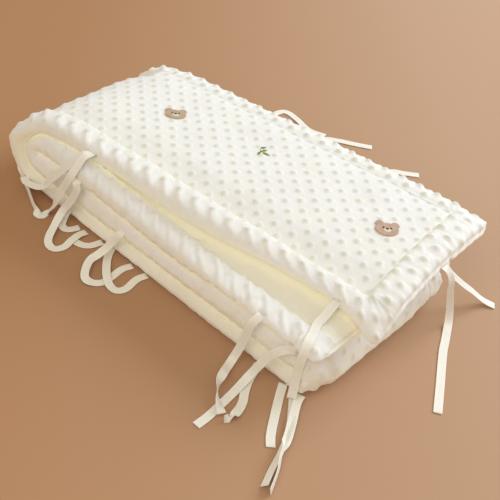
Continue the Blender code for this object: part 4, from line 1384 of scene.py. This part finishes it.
class BUMPER_OT_pad(Operator):
    """Make the folded plush pad with its dots, border and gathers"""
    bl_idname = "bumper.pad"
    bl_label = "Padded bumper"

    def execute(self, context):
        scene = context.scene
        colours, sizes = scene.bumper_colours, scene.bumper_sizes
        stations, lines, points, rows, columns, sides, faces, index, stitch_lines = pad_grid()
        cloth = cloth_places(stations, lines, rows, columns, sides, points)
        relief, dot_pile_and_shade, painted_crease_shade = pad_relief(cloth, sizes)
        slots = [int(cloth.smooth_face[list(face)].mean() > 0.5) for face in faces]
        mats = [plush_material("dotted_plush", tuple(colours.plush), 0.00035),
                plush_material("smooth_plush", tuple(colours.cream), 0.00025)]
        pad = add_mesh("pad", points, faces, mats, slots)
        normals = normal_array(pad)
        relief = keep_under_ribbons(points, normals, relief)
        points = points + normals * relief[:, None]
        points[:, 2] = np.maximum(points[:, 2], 0.0)
        pad.data.vertices.foreach_set("co", (points * MM).ravel())
        pad.data.update()
        # partly greyer pile, partly painted shade in each dot
        add_attribute(pad, "dot", dot_pile_and_shade)
        # painted shade beside the stitch lines and seams
        add_attribute(pad, "painted_crease_shade", painted_crease_shade)
        normals = normal_array(pad)
        # painted shade: deep in folds, and on cloth turned away from the light
        turned = TURNED_DEPTH * smooth(*TURNED_Z, normals[:, 2])
        add_attribute(pad, "depth", np.maximum(depth_in_folds(points, normals, faces), turned))
        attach(pad, BODY)
        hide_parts("folded_pad")

        spacing = sizes.stitch_length / MM
        made, made_faces = border_stitches(stations, index, stitch_lines, points, normals, spacing)
        stitches = add_mesh("border_stitches", made, made_faces,
                            [thread_material("border_thread", tuple(colours.thread))])
        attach(stitches, BODY)
        return {"FINISHED"}


class BUMPER_OT_patches(Operator):
    """Make the two padded bear-face patches"""
    bl_idname = "bumper.patches"
    bl_label = "Face patches"

    def execute(self, context):
        colours = context.scene.bumper_colours
        tree = face_tree(bpy.data.objects["pad"])
        outline = []
        for angle in round_steps(96):
            reach = face_outline(angle)
            outline.append((reach * math.cos(angle), reach * math.sin(angle)))
        profile = [(share, height * PATCH_THICK) for share, height in PATCH_SWELL]
        threads = {"muzzle": thread_material("muzzle_thread", tuple(colours.muzzle), 0.7),
                   "nose": thread_material("nose_thread", tuple(colours.nose), 0.35)}
        felts = {"tan_felt": tuple(colours.tan), "pink_felt": tuple(colours.pink)}
        for name, slot, x, y, up in PATCHES:
            rows, faces = laid_form(tree, outline, profile, PATCH_AIR, up, (x, y))
            patch = add_mesh("felt_" + name, rows, faces, [felt_material(slot, felts[slot])])
            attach(patch, BODY)
            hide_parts(name)
            on_patch = face_tree(patch)
            for feature, fx, fy, half_w, half_h, thick, thread in FEATURES:
                form = [(share, height * thick) for share, height in SWELL]
                rows, faces = laid_form(on_patch, oval(half_w, half_h), form, -FEATURE_SINK, up,
                                        (x, y), (fx, fy))
                piece = add_mesh(feature + name[4:], rows, faces, [threads[thread]])
                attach(piece, BODY)
        return {"FINISHED"}


class BUMPER_OT_sprig(Operator):
    """Make the embroidered leaf sprig"""
    bl_idname = "bumper.sprig"
    bl_label = "Leaf sprig"

    def execute(self, context):
        tree = face_tree(bpy.data.objects["pad"])
        points, faces = [], []
        for ax, ay, bx, by, width in LEAVES:
            length = math.hypot(bx - ax, by - ay)
            up = math.degrees(math.atan2(by - ay, bx - ax))
            outline = []
            for angle in round_steps(32):
                taper = 1.0 - LEAF_TAPER * math.sin(angle)
                outline.append((0.5 * width * math.cos(angle) * taper, 0.5 * length * math.sin(angle)))
            form = [(share, height * LEAF_RISE) for share, height in LEAF_SWELL] + [(1.0, LEAF_EDGE)]
            middle = (0.5 * (ax + bx), 0.5 * (ay + by))
            add_form(points, faces, *laid_form(tree, outline, form, LEAF_LIFT, up, middle))
        path = []
        for (ax, ay), (bx, by) in zip(STEM[:-1], STEM[1:]):
            for t in np.linspace(0.0, 1.0, 6)[:-1]:
                x, y = ax + (bx - ax) * t, ay + (by - ay) * t
                path.append((x, y, drop(tree, x, y).z))
        add_form(points, faces, *stitch_run(path, [(0.0, 0.0, 1.0)] * len(path), *STEM_STITCH))
        sprig = add_mesh("leaf_sprig", points, faces,
                         [thread_material("leaf_thread", tuple(context.scene.bumper_colours.leaf), 0.6)])
        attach(sprig, BODY)
        return {"FINISHED"}


class BUMPER_OT_stage(Operator):
    """Make the floor, the lights and the camera"""
    bl_idname = "bumper.stage"
    bl_label = "Stage"

    def execute(self, context):
        scene = context.scene
        stage = scene.bumper_stage
        corners = [(x * FLOOR_HALF, y * FLOOR_HALF, FLOOR_Z)
                   for x, y in ((-1, -1), (1, -1), (1, 1), (-1, 1))]
        floor = add_mesh("floor", corners, [(0, 1, 2, 3)], [floor_material(tuple(stage.floor))])
        world = bpy.data.worlds.new("soft_room")
        world.use_nodes = True
        set_sockets(world.node_tree, world.node_tree.nodes["Background"],
                    {"Color": (*ROOM_TINT, 1.0), "Strength": stage.sky})
        scene.world = world
        aim = Vector(LIGHTS_AIM)
        for (name, place, across, tint), power in zip(LIGHTS, (stage.key, stage.fill)):
            light = bpy.data.lights.new(name, "AREA")
            light.shape = "SQUARE"
            light.size = across
            light.energy = power
            light.color = tint
            lamp = bpy.data.objects.new(name, light)
            lamp.location = place
            lamp.rotation_euler = (aim - Vector(place)).to_track_quat("-Z", "Y").to_euler()
            scene.collection.objects.link(lamp)
        data = bpy.data.cameras.new("camera")
        data.lens = CAMERA_LENS
        data.sensor_width = CAMERA_SENSOR
        camera = bpy.data.objects.new("camera", data)
        view = Matrix.Identity(4)
        for row in range(3):
            view[row][0] = CAMERA_RIGHT[row]
            view[row][1] = -CAMERA_DOWN[row]
            view[row][2] = -CAMERA_FORWARD[row]
            view[row][3] = CAMERA_PLACE[row] * MM
        camera.matrix_world = view
        scene.collection.objects.link(camera)
        scene.camera = camera
        scene.view_settings.view_transform = "Standard"
        return {"FINISHED"}


class BUMPER_PT_panel(Panel):
    """Everything that makes up the bumper"""
    bl_idname = "BUMPER_PT_panel"
    bl_label = "Crib bumper"
    bl_space_type = "VIEW_3D"
    bl_region_type = "UI"
    bl_category = "Bumper"

    def draw(self, context):
        layout = self.layout
        for group in (context.scene.bumper_sizes, context.scene.bumper_colours, context.scene.bumper_stage):
            box = layout.box()
            for name in group.__annotations__:
                box.prop(group, name)
        for operator in OPERATORS:
            layout.operator(operator.bl_idname)


OPERATORS = (BUMPER_OT_ties, BUMPER_OT_pad, BUMPER_OT_patches, BUMPER_OT_sprig, BUMPER_OT_stage)
CLASSES = (BumperSizes, BumperColours, BumperStage, *OPERATORS, BUMPER_PT_panel)


def register():
    """Add the classes and the scene's settings."""
    for cls in CLASSES:
        bpy.utils.register_class(cls)
    bpy.types.Scene.bumper_sizes = PointerProperty(type=BumperSizes)
    bpy.types.Scene.bumper_colours = PointerProperty(type=BumperColours)
    bpy.types.Scene.bumper_stage = PointerProperty(type=BumperStage)


def unregister():
    """Take them away again."""
    del bpy.types.Scene.bumper_stage
    del bpy.types.Scene.bumper_colours
    del bpy.types.Scene.bumper_sizes
    for cls in reversed(CLASSES):
        bpy.utils.unregister_class(cls)


def main():
    """Make everything in order."""
    register()
    bpy.ops.bumper.ties()
    bpy.ops.bumper.pad()
    bpy.ops.bumper.patches()
    bpy.ops.bumper.sprig()
    bpy.ops.bumper.stage()


if __name__ == "__main__":
    main()
